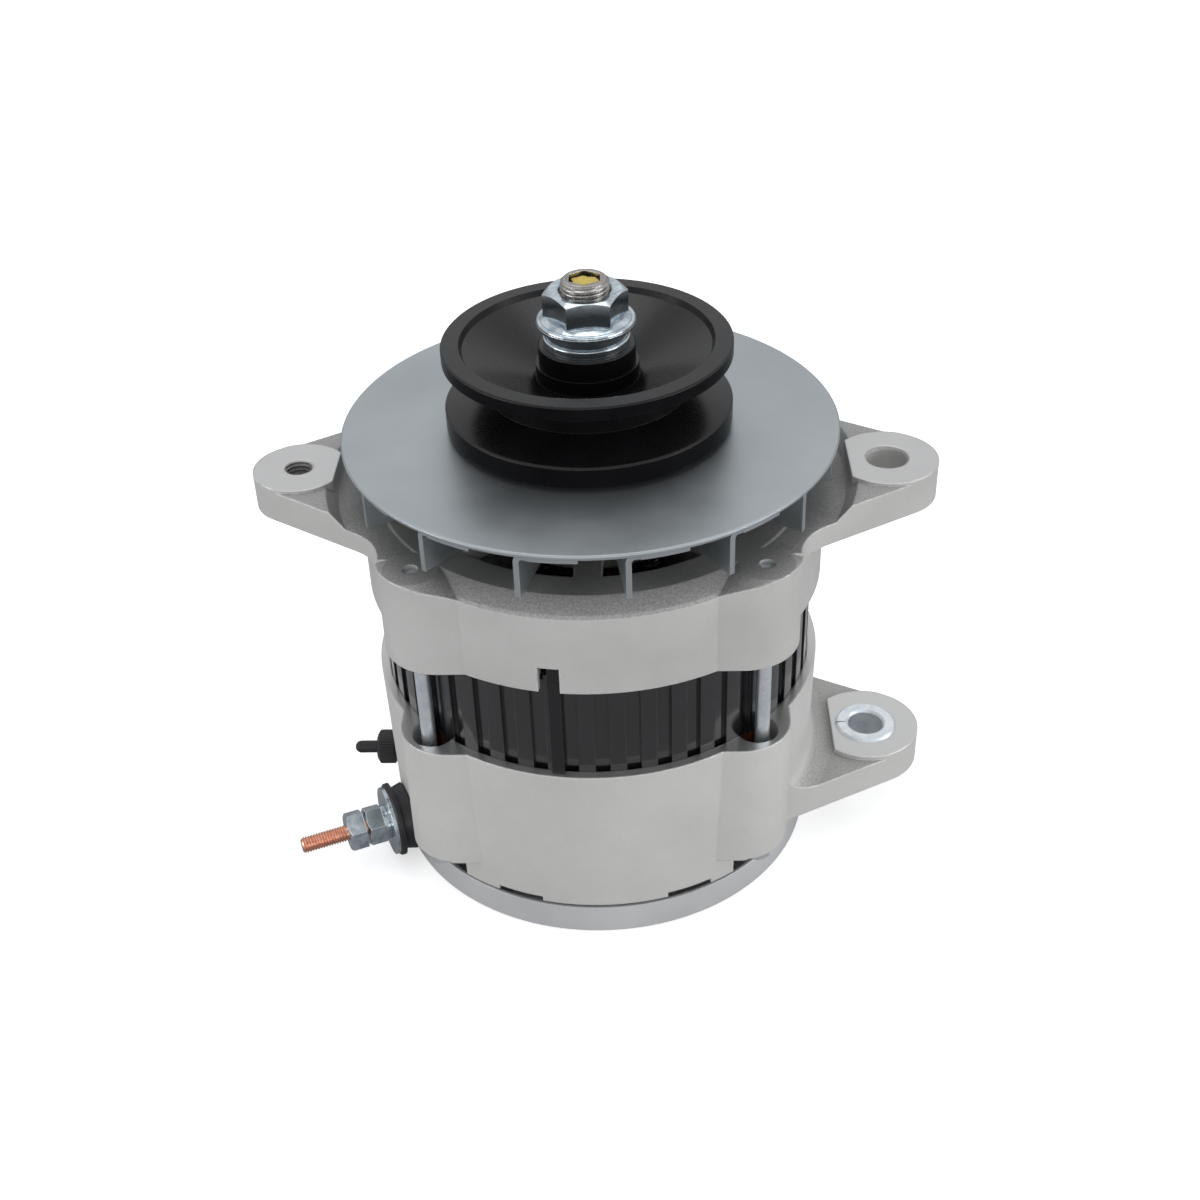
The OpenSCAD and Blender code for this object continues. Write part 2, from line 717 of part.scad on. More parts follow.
module rear_bracket() {
    color([0.75, 0.75, 0.74])
    difference() {
        union() {
            rear_casting();
            // Bosses that reach down to the rear cover
            for (a = cover_screw_angles)
                rotate(a) translate([cover_screw_circle, 0, 0])
                    rod(boss_r, boss_floor_z, web_z1 - 1);
            // Posts that carry the rectifier
            for (a = post_angles)
                rotate(a) translate([post_circle, 0, 0])
                    rod(post_r, negative_z + plate_t, web_z0 + cut);
        }
        // Threads of the cover's screws, the field core's screws and the rectifier's screws
        for (a = cover_screw_angles)
            rotate(a) translate([cover_screw_circle, 0, 0])
                rod(cover_screw_d / 2 + seat, 0, boss_floor_z + cover_screw_grip + 2);
        for (a = field_screw_angles)
            rotate(a) translate([field_screw_circle, 0, 0])
                rod(field_screw_d / 2 + seat, web_z0 - cut, web_z1 + cut);
        for (a = post_angles)
            rotate(a) translate([post_circle, 0, 0])
                rod(post_screw_d / 2 + seat, negative_z, web_z1 - 1);
    }
}

module pivot_bush() {
    half_l = rear_lug_t / 2 + bush_proud;
    edge = 0.8;
    mid_z = rear_lug_z0 + rear_lug_t / 2;
    color([0.80, 0.85, 0.88])
    translate([lug_reach, 0, mid_z])
    rotate(180 + 0.5)
    rotate_extrude(angle = 357)
        polygon([[bush_id / 2 + edge, -half_l], [bush_od / 2 - edge, -half_l],
                 [bush_od / 2, edge - half_l], [bush_od / 2, half_l - edge],
                 [bush_od / 2 - edge, half_l], [bush_id / 2 + edge, half_l],
                 [bush_id / 2, half_l - edge], [bush_id / 2, edge - half_l]]);
}

module through_bolts() {
    color([0.80, 0.85, 0.88])
    at_ears() {
        rod(bolt_r, bolt_seat_z - bolt_washer_h, face_z - 1.5);
        rotate(15) translate([0, 0, bolt_seat_z - bolt_washer_h]) mirror([0, 0, 1])
            turned_hex(bolt_head_af, 0, bolt_head_h);
    }
}

module bolt_washers() {
    color([0.80, 0.85, 0.88])
    at_ears()
        tube(bolt_r + seat, bolt_head_af / 2 + 0.4, bolt_seat_z - bolt_washer_h, bolt_seat_z);
}

// Stator

module stator_core() {
    pitch = 360 / ribs;
    gap_angle = pitch * (1 - rib_share);
    rib_start = -83.7;
    color([0.14, 0.14, 0.15])
    translate([0, 0, stack_z0])
    linear_extrude(stack_z1 - stack_z0)
        difference() {
            circle(r = stator_r);
            circle(r = stator_bore_r);
            for (i = [0 : ribs - 1])
                rotate(rib_start + (i + 0.5) * pitch)
                    difference() {
                        sector(stator_r + 2, gap_angle);
                        circle(r = stator_r - groove_depth);
                    }
            for (i = [0 : slots - 1])
                rotate(i * 360 / slots) {
                    translate([stator_bore_r - 1, -1.25]) square([3, 2.5]);
                    translate([stator_bore_r + 1.5, -winding_slot_w / 2])
                        square([slot_depth - 1.5, winding_slot_w]);
                }
        }
}

module stator_winding() {
    bar_w = winding_slot_w - 2 * winding_clear;
    color([0.20, 0.13, 0.10])
    union() {
        for (z = [stack_z1 + winding_clear, stack_z0 - winding_head - winding_clear])
            translate([0, 0, z])
                rotate_extrude()
                    polygon([[head_r_in, 2], [head_r_in + 2, 0], [head_r_out - 2, 0],
                             [head_r_out, 2], [head_r_out, winding_head - 2],
                             [head_r_out - 2, winding_head], [head_r_in + 2, winding_head],
                             [head_r_in, winding_head - 2]]);
        for (i = [0 : slots - 1])
            rotate(i * 360 / slots)
                translate([stator_bore_r + 3.5, -bar_w / 2, stack_z0 - 2])
                    cube([slot_depth - 3.5 - winding_clear, bar_w, stack_z1 - stack_z0 + 4]);
    }
}

module stator_strip() {
    strip_w = 4.1;
    strip_t = 1.6;
    strip_rise = 8;
    color([0.08, 0.08, 0.09])
    rotate(strip_angle)
        translate([stator_r + 0.05, -strip_w / 2, rear_z1 + 0.05])
            cube([strip_t, strip_w, stator_show + strip_rise]);
}

// Rotor

module rotor_shaft() {
    front_r = shaft_d / 2;
    thread_r = thread_d / 2;
    rear_r = rear_shaft_d / 2;
    rear_end_z = rear_bearing_z0 + 0.5;
    color([0.62, 0.62, 0.64])
    difference() {
        rotate_extrude()
            polygon([[0, rear_end_z], [rear_r - 1, rear_end_z], [rear_r, rear_end_z + 1],
                     [rear_r, rear_bearing_z1], [rear_r + 1.5, rear_bearing_z1],
                     [rear_r + 1.5, rotor_hub_z0 - 2], [core_shaft_r, rotor_hub_z0],
                     [core_shaft_r, front_bearing_z0], [front_r, front_bearing_z0],
                     [front_r, collar_z1 - 1], [thread_r - 0.8, collar_z1 - 0.4],
                     [thread_r - 0.8, collar_z1], [thread_r, collar_z1 + 0.8],
                     [thread_r, shaft_z1 - 1.2], [thread_r - 1.2, shaft_z1], [0, shaft_z1]]);
        hex_prism(socket_af, shaft_z1 - socket_depth, shaft_z1 + cut);
        translate([shaft_d / 2 - key_w / 2, -key_w / 2 - seat, key_z])
            cube([key_w, key_w + 2 * seat, key_l]);
    }
}

module shaft_key() {
    color([0.50, 0.50, 0.52])
    translate([shaft_d / 2 - key_w / 2 + seat, -key_w / 2, key_z + seat])
        cube([key_w - 1, key_w, key_l - 2 * seat]);
}

module drive_pole() {
    color([0.34, 0.33, 0.33])
    difference() {
        union() {
            rod(rotor_hub_r, rotor_hub_z0, pole_z1);
            rod(claw_r_in - 4, pole_disc_z0, pole_z1);
            claw_set(pole_z1, -1, claw_r_in - 8);
        }
        rod(core_shaft_r + seat, 0, shaft_z1);
    }
}

// Claws that taper away from their root, cut from one ring
module claw_set(root_z, way, arm_r) {
    length = pole_z1 - pole_z0;
    root_t = pole_disc_t;
    intersection() {
        union() {
            tube(claw_r_in, rotor_r, pole_z0, pole_z1);
            tube(arm_r, claw_r_in + 1, way < 0 ? root_z - root_t : root_z,
                 way < 0 ? root_z : root_z + ring_pole_t);
        }
        for (i = [0 : claws - 1])
            rotate(i * 360 / claws + (way < 0 ? 0 : 180 / claws))
                rotate([90, 0, 90])
                    linear_extrude(rotor_r + 5)
                        polygon([[-claw_root_w / 2, root_z], [claw_root_w / 2, root_z],
                                 [claw_root_w / 2, root_z + way * root_t],
                                 [claw_tip_w / 2, root_z + way * (length - 3)],
                                 [-claw_tip_w / 2, root_z + way * (length - 3)],
                                 [-claw_root_w / 2, root_z + way * root_t]]);
    }
}

module pole_ring() {
    color([0.34, 0.33, 0.33])
    union() {
        tube(ring_pole_r_in, claw_r_in - 1.5, pole_z0, pole_z0 + ring_pole_t);
        claw_set(pole_z0, 1, ring_pole_r_in + 1);
    }
}

module joining_ring() {
    color([0.78, 0.62, 0.30])
    tube(ring_pole_r_in + 0.3, claw_r_in - seat, joint_ring_z0, joint_ring_z0 + joint_ring_h);
}

module field_core() {
    color([0.36, 0.35, 0.35])
    difference() {
        rotate_extrude()
            polygon([[field_r_in, web_z1], [field_r_out, web_z1],
                     [field_r_out, web_z1 + field_flange_t],
                     [field_tube_r, web_z1 + field_flange_t], [field_tube_r, field_z1],
                     [field_r_in, field_z1]]);
        for (a = field_screw_angles)
            rotate(a) translate([field_screw_circle, 0, 0]) {
                rod(field_screw_d / 2 + slip, web_z1 - cut, field_z1);
                rod(field_screw_d, web_z1 + field_flange_t - 4, field_z1);
            }
    }
}

module field_screws() {
    color([0.70, 0.72, 0.74])
    for (a = field_screw_angles)
        rotate(a) translate([field_screw_circle, 0, 0]) {
            rod(field_screw_d / 2, web_z0 + 0.5, web_z1 + field_flange_t - 3);
            rod(field_screw_d * 0.88, web_z1 + field_flange_t - 4, web_z1 + field_flange_t - 0.6);
        }
}

module field_coil() {
    color([0.62, 0.30, 0.16])
    rotate_extrude()
        polygon([[field_tube_r + seat, web_z1 + field_flange_t],
                 [field_r_out, web_z1 + field_flange_t],
                 [field_r_out, web_z1 + field_flange_t + 2],
                 [field_r_out - 1.5, web_z1 + field_flange_t + 2],
                 [field_r_out - 1.5, field_z1 - 3], [field_r_out, field_z1 - 3],
                 [field_r_out, field_z1 - 1], [field_tube_r + seat, field_z1 - 1]]);
}

// Bearings

// One ball bearing ring: bore side and track side, with the track's round groove
module bearing_ring(r_a, r_b, pitch_r, groove_r, z0, width) {
    difference() {
        tube(r_a, r_b, z0, z0 + width);
        translate([0, 0, z0 + width / 2])
            rotate_extrude() translate([pitch_r, 0]) circle(r = groove_r);
    }
}

module ball_row(n, pitch_r, ball_r, z) {
    for (i = [0 : n - 1])
        rotate(i * 360 / n) translate([pitch_r, 0, z]) sphere(r = ball_r);
}

module ball_cage(n, pitch_r, ball_r, z) {
    difference() {
        tube(pitch_r - 0.9, pitch_r + 0.9, z - ball_r - 1.2, z + ball_r + 1.2);
        ball_row(n, pitch_r, ball_r + run, z);
    }
}

module front_inner_ring() {
    color([0.78, 0.78, 0.80])
    bearing_ring(shaft_d / 2 + seat, front_pitch_r - front_ball_d * 0.3, front_pitch_r,
                 front_ball_d / 2 + run, front_bearing_z0, front_bearing_w);
}

module front_outer_ring() {
    color([0.78, 0.78, 0.80])
    bearing_ring(front_pitch_r + front_ball_d * 0.3, front_bearing_od / 2, front_pitch_r,
                 front_ball_d / 2 + run, front_bearing_z0, front_bearing_w);
}

module front_balls() {
    color([0.85, 0.85, 0.87])
    ball_row(front_balls_n, front_pitch_r, front_ball_d / 2, front_mid_z);
}

module front_ball_cage() {
    color([0.70, 0.58, 0.35])
    ball_cage(front_balls_n, front_pitch_r, front_ball_d / 2, front_mid_z);
}

module rear_inner_ring() {
    color([0.78, 0.78, 0.80])
    bearing_ring(rear_shaft_d / 2 + seat, rear_pitch_r - rear_ball_d * 0.3, rear_pitch_r,
                 rear_ball_d / 2 + run, rear_bearing_z0, rear_bearing_w);
}

module rear_outer_ring() {
    color([0.78, 0.78, 0.80])
    bearing_ring(rear_pitch_r + rear_ball_d * 0.3, rear_bearing_od / 2, rear_pitch_r,
                 rear_ball_d / 2 + run, rear_bearing_z0, rear_bearing_w);
}

module rear_balls() {
    color([0.85, 0.85, 0.87])
    ball_row(rear_balls_n, rear_pitch_r, rear_ball_d / 2, rear_mid_z);
}

module rear_ball_cage() {
    color([0.70, 0.58, 0.35])
    ball_cage(rear_balls_n, rear_pitch_r, rear_ball_d / 2, rear_mid_z);
}

module bearing_retainer() {
    color([0.66, 0.68, 0.70])
    difference() {
        tube(front_pitch_r, front_hub_r - 0.5, retainer_z0, front_bearing_z0);
        for (a = [0 : 90 : 270])
            rotate(a + 45) translate([retainer_screw_circle, 0, 0])
                rod(retainer_screw_d / 2 + slip, 0, front_bearing_z0 + cut);
    }
}

module retainer_screws() {
    color([0.80, 0.85, 0.88])
    for (a = [0 : 90 : 270])
        rotate(a + 45) translate([retainer_screw_circle, 0, 0]) {
            rod(retainer_screw_d / 2, retainer_z0 - 1, front_bearing_z0 + retainer_screw_grip);
            rod(retainer_screw_head_r, retainer_z0 - retainer_screw_head_h, retainer_z0);
        }
}

// Fan

module fan_disc() {
    edge = 0.5;
    color([0.62, 0.65, 0.67])
    rotate_extrude()
        polygon([[shaft_d / 2 + seat, disc_z], [fan_r - edge, disc_z], [fan_r, disc_z + edge],
                 [fan_r, boss_z - edge], [fan_r - edge, boss_z], [shaft_d / 2 + seat, boss_z]]);
}

// Plate of tabs, with a radial blade bent down from the leading side of each tab
module fan_blades() {
    bend_r = 3;
    tab_y = bend_r + 1.5;
    tab_reach = fan_r + 12;
    color([0.62, 0.65, 0.67])
    union() {
        translate([0, 0, plate_z])
            linear_extrude(fan_sheet)
                difference() {
                    union() {
                        circle(r = blade_r_in - 3);
                        intersection() {
                            circle(r = blade_r_out);
                            for (i = [0 : blades - 1])
                                rotate(blade_start + i * 360 / blades)
                                    polygon([[tab_y / tan(tab_angle + 2), tab_y],
                                             [tab_reach, tab_y],
                                             [tab_reach, tab_reach * tan(tab_angle + 2)]]);
                        }
                    }
                    circle(r = shaft_d / 2 + seat);
                }
        for (i = [0 : blades - 1])
            rotate(blade_start + i * 360 / blades)
                translate([blade_r_in, 0, 0])
                    rotate([90, 0, 90])
                        linear_extrude(blade_r_out - 0.5 - blade_r_in) blade_2d(bend_r, tab_y + 2);
    }
}

// End view of a blade: the blade, its round bend and the strip that joins the tab
module blade_2d(bend_r, strip_end) {
    difference() {
        union() {
            translate([0, blade_z]) square([fan_sheet, disc_z - bend_r - blade_z]);
            translate([bend_r, plate_z]) square([strip_end - bend_r, fan_sheet]);
            intersection() {
                translate([bend_r, disc_z - bend_r]) circle(r = bend_r);
                translate([0, disc_z - bend_r]) square([bend_r, bend_r]);
            }
        }
        intersection() {
            translate([bend_r, disc_z - bend_r]) circle(r = bend_r - fan_sheet);
            translate([0, disc_z - bend_r]) square([bend_r, bend_r]);
        }
    }
}

module fan_spacer() {
    color([0.45, 0.45, 0.46])
    tube(shaft_d / 2 + seat, shaft_d / 2 + 4.4, front_bearing_z1, plate_z);
}

// Pulley and its nut

module pulley() {
    half = tan(groove_angle / 2);
    root_r = pulley_r - groove_d;
    drop = groove_d * half;
    edge = 0.6;
    dish_edge_z = rim_z - 1.9;
    color([0.10, 0.10, 0.11])
    difference() {
        rotate_extrude()
            polygon([[shaft_d / 2 + seat, boss_z], [21, boss_z], [22, flange_z],
                     [pulley_r - edge, flange_z], [pulley_r, flange_z + edge],
                     [pulley_r, groove_z - edge], [pulley_r - edge, groove_z],
                     [root_r, groove_z + drop], [root_r, groove_z + groove_w - drop],
                     [pulley_r - edge, groove_z + groove_w],
                     [pulley_r, groove_z + groove_w + edge], [pulley_r, rim_z - edge],
                     [pulley_r - edge, rim_z], [dish_r, rim_z], [dish_r - 1, dish_edge_z],
                     [pulley_hub_r + 2, rim_z - dish_depth + 0.8],
                     [pulley_hub_r, rim_z - dish_depth], [pulley_hub_r, hub_top_z],
                     [shaft_d / 2 + seat, hub_top_z]]);
        translate([0, -key_w / 2 - seat, boss_z - cut])
            cube([shaft_d / 2 + key_w / 2 - 0.8, key_w + 2 * seat, hub_top_z - boss_z + 2 * cut]);
    }
}

module pulley_collar() {
    edge = 0.5;
    color([0.09, 0.09, 0.10])
    rotate_extrude()
        polygon([[shaft_d / 2 + seat, hub_top_z], [collar_r, hub_top_z],
                 [collar_r, collar_z1 - edge], [collar_r - edge, collar_z1],
                 [shaft_d / 2 + seat, collar_z1]]);
}

module plain_washer() {
    edge = 0.4;
    color([0.78, 0.83, 0.86])
    rotate_extrude()
        polygon([[thread_d / 2 + seat, collar_z1], [washer_r, collar_z1],
                 [washer_r, washer_z1 - edge], [washer_r - edge, washer_z1],
                 [thread_d / 2 + seat, washer_z1]]);
}

module spring_washer() {
    color([0.78, 0.83, 0.86])
    rotate(60)
    rotate_extrude(angle = 352)
        translate([thread_d / 2 + 0.3, washer_z1])
            square([spring_washer_r - thread_d / 2 - 0.3, spring_washer_h]);
}

module pulley_nut() {
    turn = 5.8;
    color([0.80, 0.85, 0.88])
    difference() {
        union() {
            translate([0, 0, nut_z])
                rotate_extrude()
                    polygon([[0, 0], [nut_flange_r, 0], [nut_flange_r, 0.9],
                             [nut_af / 2 + 0.8, nut_flange_h], [0, nut_flange_h]]);
            rotate(turn) turned_hex(nut_af, nut_z + nut_flange_h / 2, nut_z1);
        }
        rod(thread_d / 2 + seat, nut_z - cut, nut_z1 + cut);
        translate([0, 0, nut_z1 - 0.8])
            cylinder(r1 = thread_d / 2, r2 = thread_d / 2 + 1, h = 1);
    }
}

// Rectifier and regulator

// Part of a ring between two bearings
module plate_arc_2d(r_in, r_out, from, to) {
    steps = 8;
    intersection() {
        difference() {
            circle(r = r_out);
            circle(r = r_in);
        }
        polygon(concat([[0, 0]],
            [for (i = [0 : steps]) let (a = from + (to - from) * i / steps)
                2 * r_out * [cos(a), sin(a)]]));
    }
}

// Room round the bosses of the rear cover's screws
module boss_rooms_2d() {
    for (a = cover_screw_angles)
        rotate(a) translate([cover_screw_circle, 0]) circle(r = boss_r + 1.5);
}

module negative_plate() {
    color([0.70, 0.70, 0.71])
    translate([0, 0, negative_z])
    linear_extrude(plate_t)
        difference() {
            plate_arc_2d(negative_r_in, negative_r_out, negative_span[0], negative_span[1]);
            for (a = post_angles)
                rotate(a) translate([post_circle, 0]) circle(r = post_screw_d / 2 + slip);
            boss_rooms_2d();
        }
}

// Plate with an upright tab that the output stud's head clamps
module positive_plate() {
    tab_half = 8;
    color([0.70, 0.70, 0.71])
    difference() {
        union() {
            translate([0, 0, positive_z])
                linear_extrude(plate_t)
                    difference() {
                        plate_arc_2d(positive_r_in, stud_seat_r - 2, positive_span[0], positive_span[1]);
                        boss_rooms_2d();
                    }
            rotate(output_angle)
                translate([stud_seat_r - plate_t, -tab_half, boss_floor_z + 1])
                    cube([plate_t, 2 * tab_half, positive_z + plate_t - boss_floor_z - 1]);
        }
        along_output() rod(stud_grip_d / 2 + seat, stud_seat_r - 2 * plate_t, stud_seat_r + cut);
        along_output() rod(stud_head_af / sqrt(3) + 1.5, 0, stud_seat_r - plate_t);
    }
}

// Three pressed diodes on each plate, facing each other
module diodes() {
    can_h = (negative_z - positive_z - plate_t) * 0.42;
    lead_r = 0.8;
    color([0.55, 0.55, 0.58])
    for (a = diode_angles)
        rotate(a) translate([diode_circle, 0, 0]) {
            rod(diode_r, positive_z + plate_t, positive_z + plate_t + can_h);
            rod(diode_r, negative_z - can_h, negative_z);
            rod(lead_r, positive_z + plate_t, negative_z);
        }
}

module regulator() {
    block_l = negative_r_out - 2 - negative_r_in;
    block_w = 28;
    block_h = 12;
    color([0.12, 0.12, 0.13])
    rotate(45) translate([negative_r_in, -block_w / 2, negative_z - block_h])
        cube([block_l, block_w, block_h]);
}

module rectifier_screws() {
    color([0.80, 0.85, 0.88])
    for (a = post_angles)
        rotate(a) translate([post_circle, 0, 0]) {
            rod(post_screw_d / 2, negative_z - 1, web_z1 - 2);
            rod(post_screw_d * 0.88, negative_z - 2.8, negative_z);
        }
}

// Rear cover

module rear_cover() {
    edge = 1.2;
    color([0.73, 0.74, 0.75])
    difference() {
        union() {
            // Band and bottom plate, with a rolled edge
            rotate_extrude()
                polygon([[0, 0], [cover_r - edge, 0], [cover_r, edge], [cover_r, cover_h],
                         [cover_r - cover_sheet, cover_h], [cover_r - cover_sheet, cover_sheet],
                         [0, cover_sheet]]);
            // Dimples that meet the bracket's bosses
            for (a = cover_screw_angles)
                rotate(a) translate([cover_screw_circle, 0, 0])
                    rod(dimple_r + cover_sheet, 0, boss_floor_z);
        }
        for (a = cover_screw_angles)
            rotate(a) translate([cover_screw_circle, 0, 0]) {
                rod(dimple_r, -cut, dimple_h);
                rod(cover_screw_d / 2 + slip, -cut, boss_floor_z + cut);
            }
        // Air slots
        for (i = [0 : 15])
            rotate(i * 22.5)
                translate([0, 0, -cut])
                    linear_extrude(cover_sheet + 2 * cut)
                        round_slot_2d(30, 50, 5);
        // Room for the insulator
        along_output() rod(insulator_r + 0.4, cover_r - 12, cover_r + 10);
    }
}

// Slot with round ends along the x axis
module round_slot_2d(x0, x1, w) {
    translate([x0, -w / 2]) square([x1 - x0, w]);
    translate([x0, 0]) circle(r = w / 2);
    translate([x1, 0]) circle(r = w / 2);
}

module cover_screws() {
    color([0.80, 0.85, 0.88])
    for (a = cover_screw_angles)
        rotate(a) translate([cover_screw_circle, 0, 0]) {
            rod(cover_screw_d / 2, dimple_h - 1, boss_floor_z + cover_screw_grip);
            rod(4.6, dimple_h - 2.8, dimple_h);
        }
}

// Terminals

module terminal_insulator() {
    r0 = wall_r_at_output + 0.6;
    waist_r = insulator_r - 1.2;
    edge = 0.5;
    color([0.10, 0.10, 0.12])
    along_output()
        rotate_extrude()
            polygon([[stud_grip_d / 2 + seat, stud_seat_r], [insulator_neck_r, stud_seat_r],
                     [insulator_neck_r, r0], [insulator_r, r0],
                     [waist_r, insulator_r1 - insulator_flange_t],
                     [insulator_flange_r, insulator_r1 - insulator_flange_t],
                     [insulator_flange_r, insulator_r1 - edge],
                     [insulator_flange_r - edge, insulator_r1],
                     [stud_grip_d / 2 + seat, insulator_r1]]);
}

// The stud is drawn at its full thread where it is free, and thinner where the nuts grip it
module terminal_stud() {
    head_r0 = stud_seat_r - plate_t - stud_head_h;
    edge = 0.8;
    color([0.80, 0.50, 0.38])
    along_output() {
        rotate_extrude()
            polygon([[0, head_r0 + 1], [stud_grip_d / 2, head_r0 + 1],
                     [stud_grip_d / 2, stud_free_r], [stud_d / 2, stud_free_r],
                     [stud_d / 2, stud_reach - edge], [stud_d / 2 - edge, stud_reach],
                     [0, stud_reach]]);
        hex_prism(stud_head_af, head_r0, head_r0 + stud_head_h);
    }
}

module terminal_flat_washer() {
    color([0.80, 0.85, 0.88])
    along_output()
        tube(stud_grip_d / 2 + seat, terminal_washer_r, insulator_r1,
             insulator_r1 + terminal_washer_t);
}

module terminal_spring_washer() {
    color([0.80, 0.85, 0.88])
    along_output()
        rotate_extrude(angle = 350)
            translate([stud_d / 2 + 0.2, insulator_r1 + terminal_washer_t])
                square([terminal_nut_af / 2 - stud_d / 2 - 0.3, terminal_spring_t]);
}

module terminal_nut(r0) {
    color([0.80, 0.85, 0.88])
    along_output()
        difference() {
            turned_hex(terminal_nut_af, r0, r0 + terminal_nut_h);
            rod(stud_grip_d / 2 + seat, r0 - cut, r0 + terminal_nut_h + cut);
        }
}

module terminal_inner_nut() {
    terminal_nut(inner_nut_r);
}

module terminal_outer_nut() {
    terminal_nut(outer_nut_r);
}

module sense_terminal() {
    edge = 0.8;
    base_r = sense_collar_r - 1;
    color([0.08, 0.08, 0.09])
    along_sense()
        rotate_extrude()
            polygon([[0, stud_seat_r], [sense_stem_r, stud_seat_r], [sense_stem_r, sense_r0],
                     [base_r, sense_r0], [base_r, sense_r0 + 1.1], [sense_collar_r, sense_r0 + 1.1],
                     [sense_collar_r, sense_r0 + sense_collar_l - edge],
                     [sense_collar_r - edge, sense_r0 + sense_collar_l],
                     [0, sense_r0 + sense_collar_l]]);
}

module sense_cap() {
    r0 = sense_r0 + sense_collar_l;
    color([0.07, 0.07, 0.08])
    along_sense()
        rotate_extrude()
            intersection() {
                union() {
                    translate([0, r0]) square([sense_cap_r, sense_cap_l - sense_cap_r]);
                    translate([0, r0 + sense_cap_l - sense_cap_r]) circle(r = sense_cap_r);
                }
                translate([0, r0]) square([sense_cap_r + cut, sense_cap_l + cut]);
            }
}

rotor_shaft();
shaft_key();
pulley_nut();
spring_washer();
plain_washer();
pulley_collar();
pulley();
fan_disc();
fan_blades();
fan_spacer();
front_inner_ring();
front_balls();
front_ball_cage();
front_outer_ring();
bearing_retainer();
retainer_screws();
front_bracket();
drive_pole();
pole_ring();
joining_ring();
field_core();
field_coil();
field_screws();
stator_core();
stator_winding();
stator_strip();
rear_bracket();
pivot_bush();
through_bolts();
bolt_washers();
rear_inner_ring();
rear_balls();
rear_ball_cage();
rear_outer_ring();
positive_plate();
negative_plate();
diodes();
regulator();
rear_cover();
cover_screws();
rectifier_screws();
terminal_stud();
terminal_insulator();
terminal_flat_washer();
terminal_spring_washer();
terminal_inner_nut();
terminal_outer_nut();
sense_terminal();
sense_cap();
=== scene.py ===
import math

import bpy
from mathutils import Matrix, Vector


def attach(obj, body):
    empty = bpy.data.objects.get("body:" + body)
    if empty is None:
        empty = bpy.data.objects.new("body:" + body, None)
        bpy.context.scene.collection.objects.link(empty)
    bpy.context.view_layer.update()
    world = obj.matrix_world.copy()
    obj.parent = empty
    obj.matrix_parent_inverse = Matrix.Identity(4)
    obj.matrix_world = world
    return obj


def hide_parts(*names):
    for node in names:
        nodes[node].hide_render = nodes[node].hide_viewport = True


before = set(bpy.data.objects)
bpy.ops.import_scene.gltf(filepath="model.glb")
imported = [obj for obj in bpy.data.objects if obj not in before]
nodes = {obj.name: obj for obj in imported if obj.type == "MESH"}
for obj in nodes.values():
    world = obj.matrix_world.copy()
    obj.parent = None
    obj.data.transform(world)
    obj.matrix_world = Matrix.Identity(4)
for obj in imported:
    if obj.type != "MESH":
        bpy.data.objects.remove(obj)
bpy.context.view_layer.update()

MM = 0.001

# Levels of the CAD part in millimetres, for the pieces that fit onto it
COLLAR_TOP = 192.3
SHAFT_TOP = 214.4
SHAFT_FOOT = 35.5
BEARING_TOP = 46.0
HUB_FOOT = 72.0
BEARING_FRONT = 124.0
OUTPUT_ANGLE = math.radians(-156.5)
OUTPUT_Z = 15.4
STUD_FOOT = 59.0
STUD_FREE = 102.2
STUD_TOP = 118.8
SENSE_Z = 22.4
SENSE_SEAT = 66.0
SENSE_FOOT = 78.07
NUT_FOOT = 199.1
TAPPED_X = -100.0
TAPPED_FOOT = 134.5
LUG_TOP = 147.0
FLOOR_Z = -0.02


# Node helpers

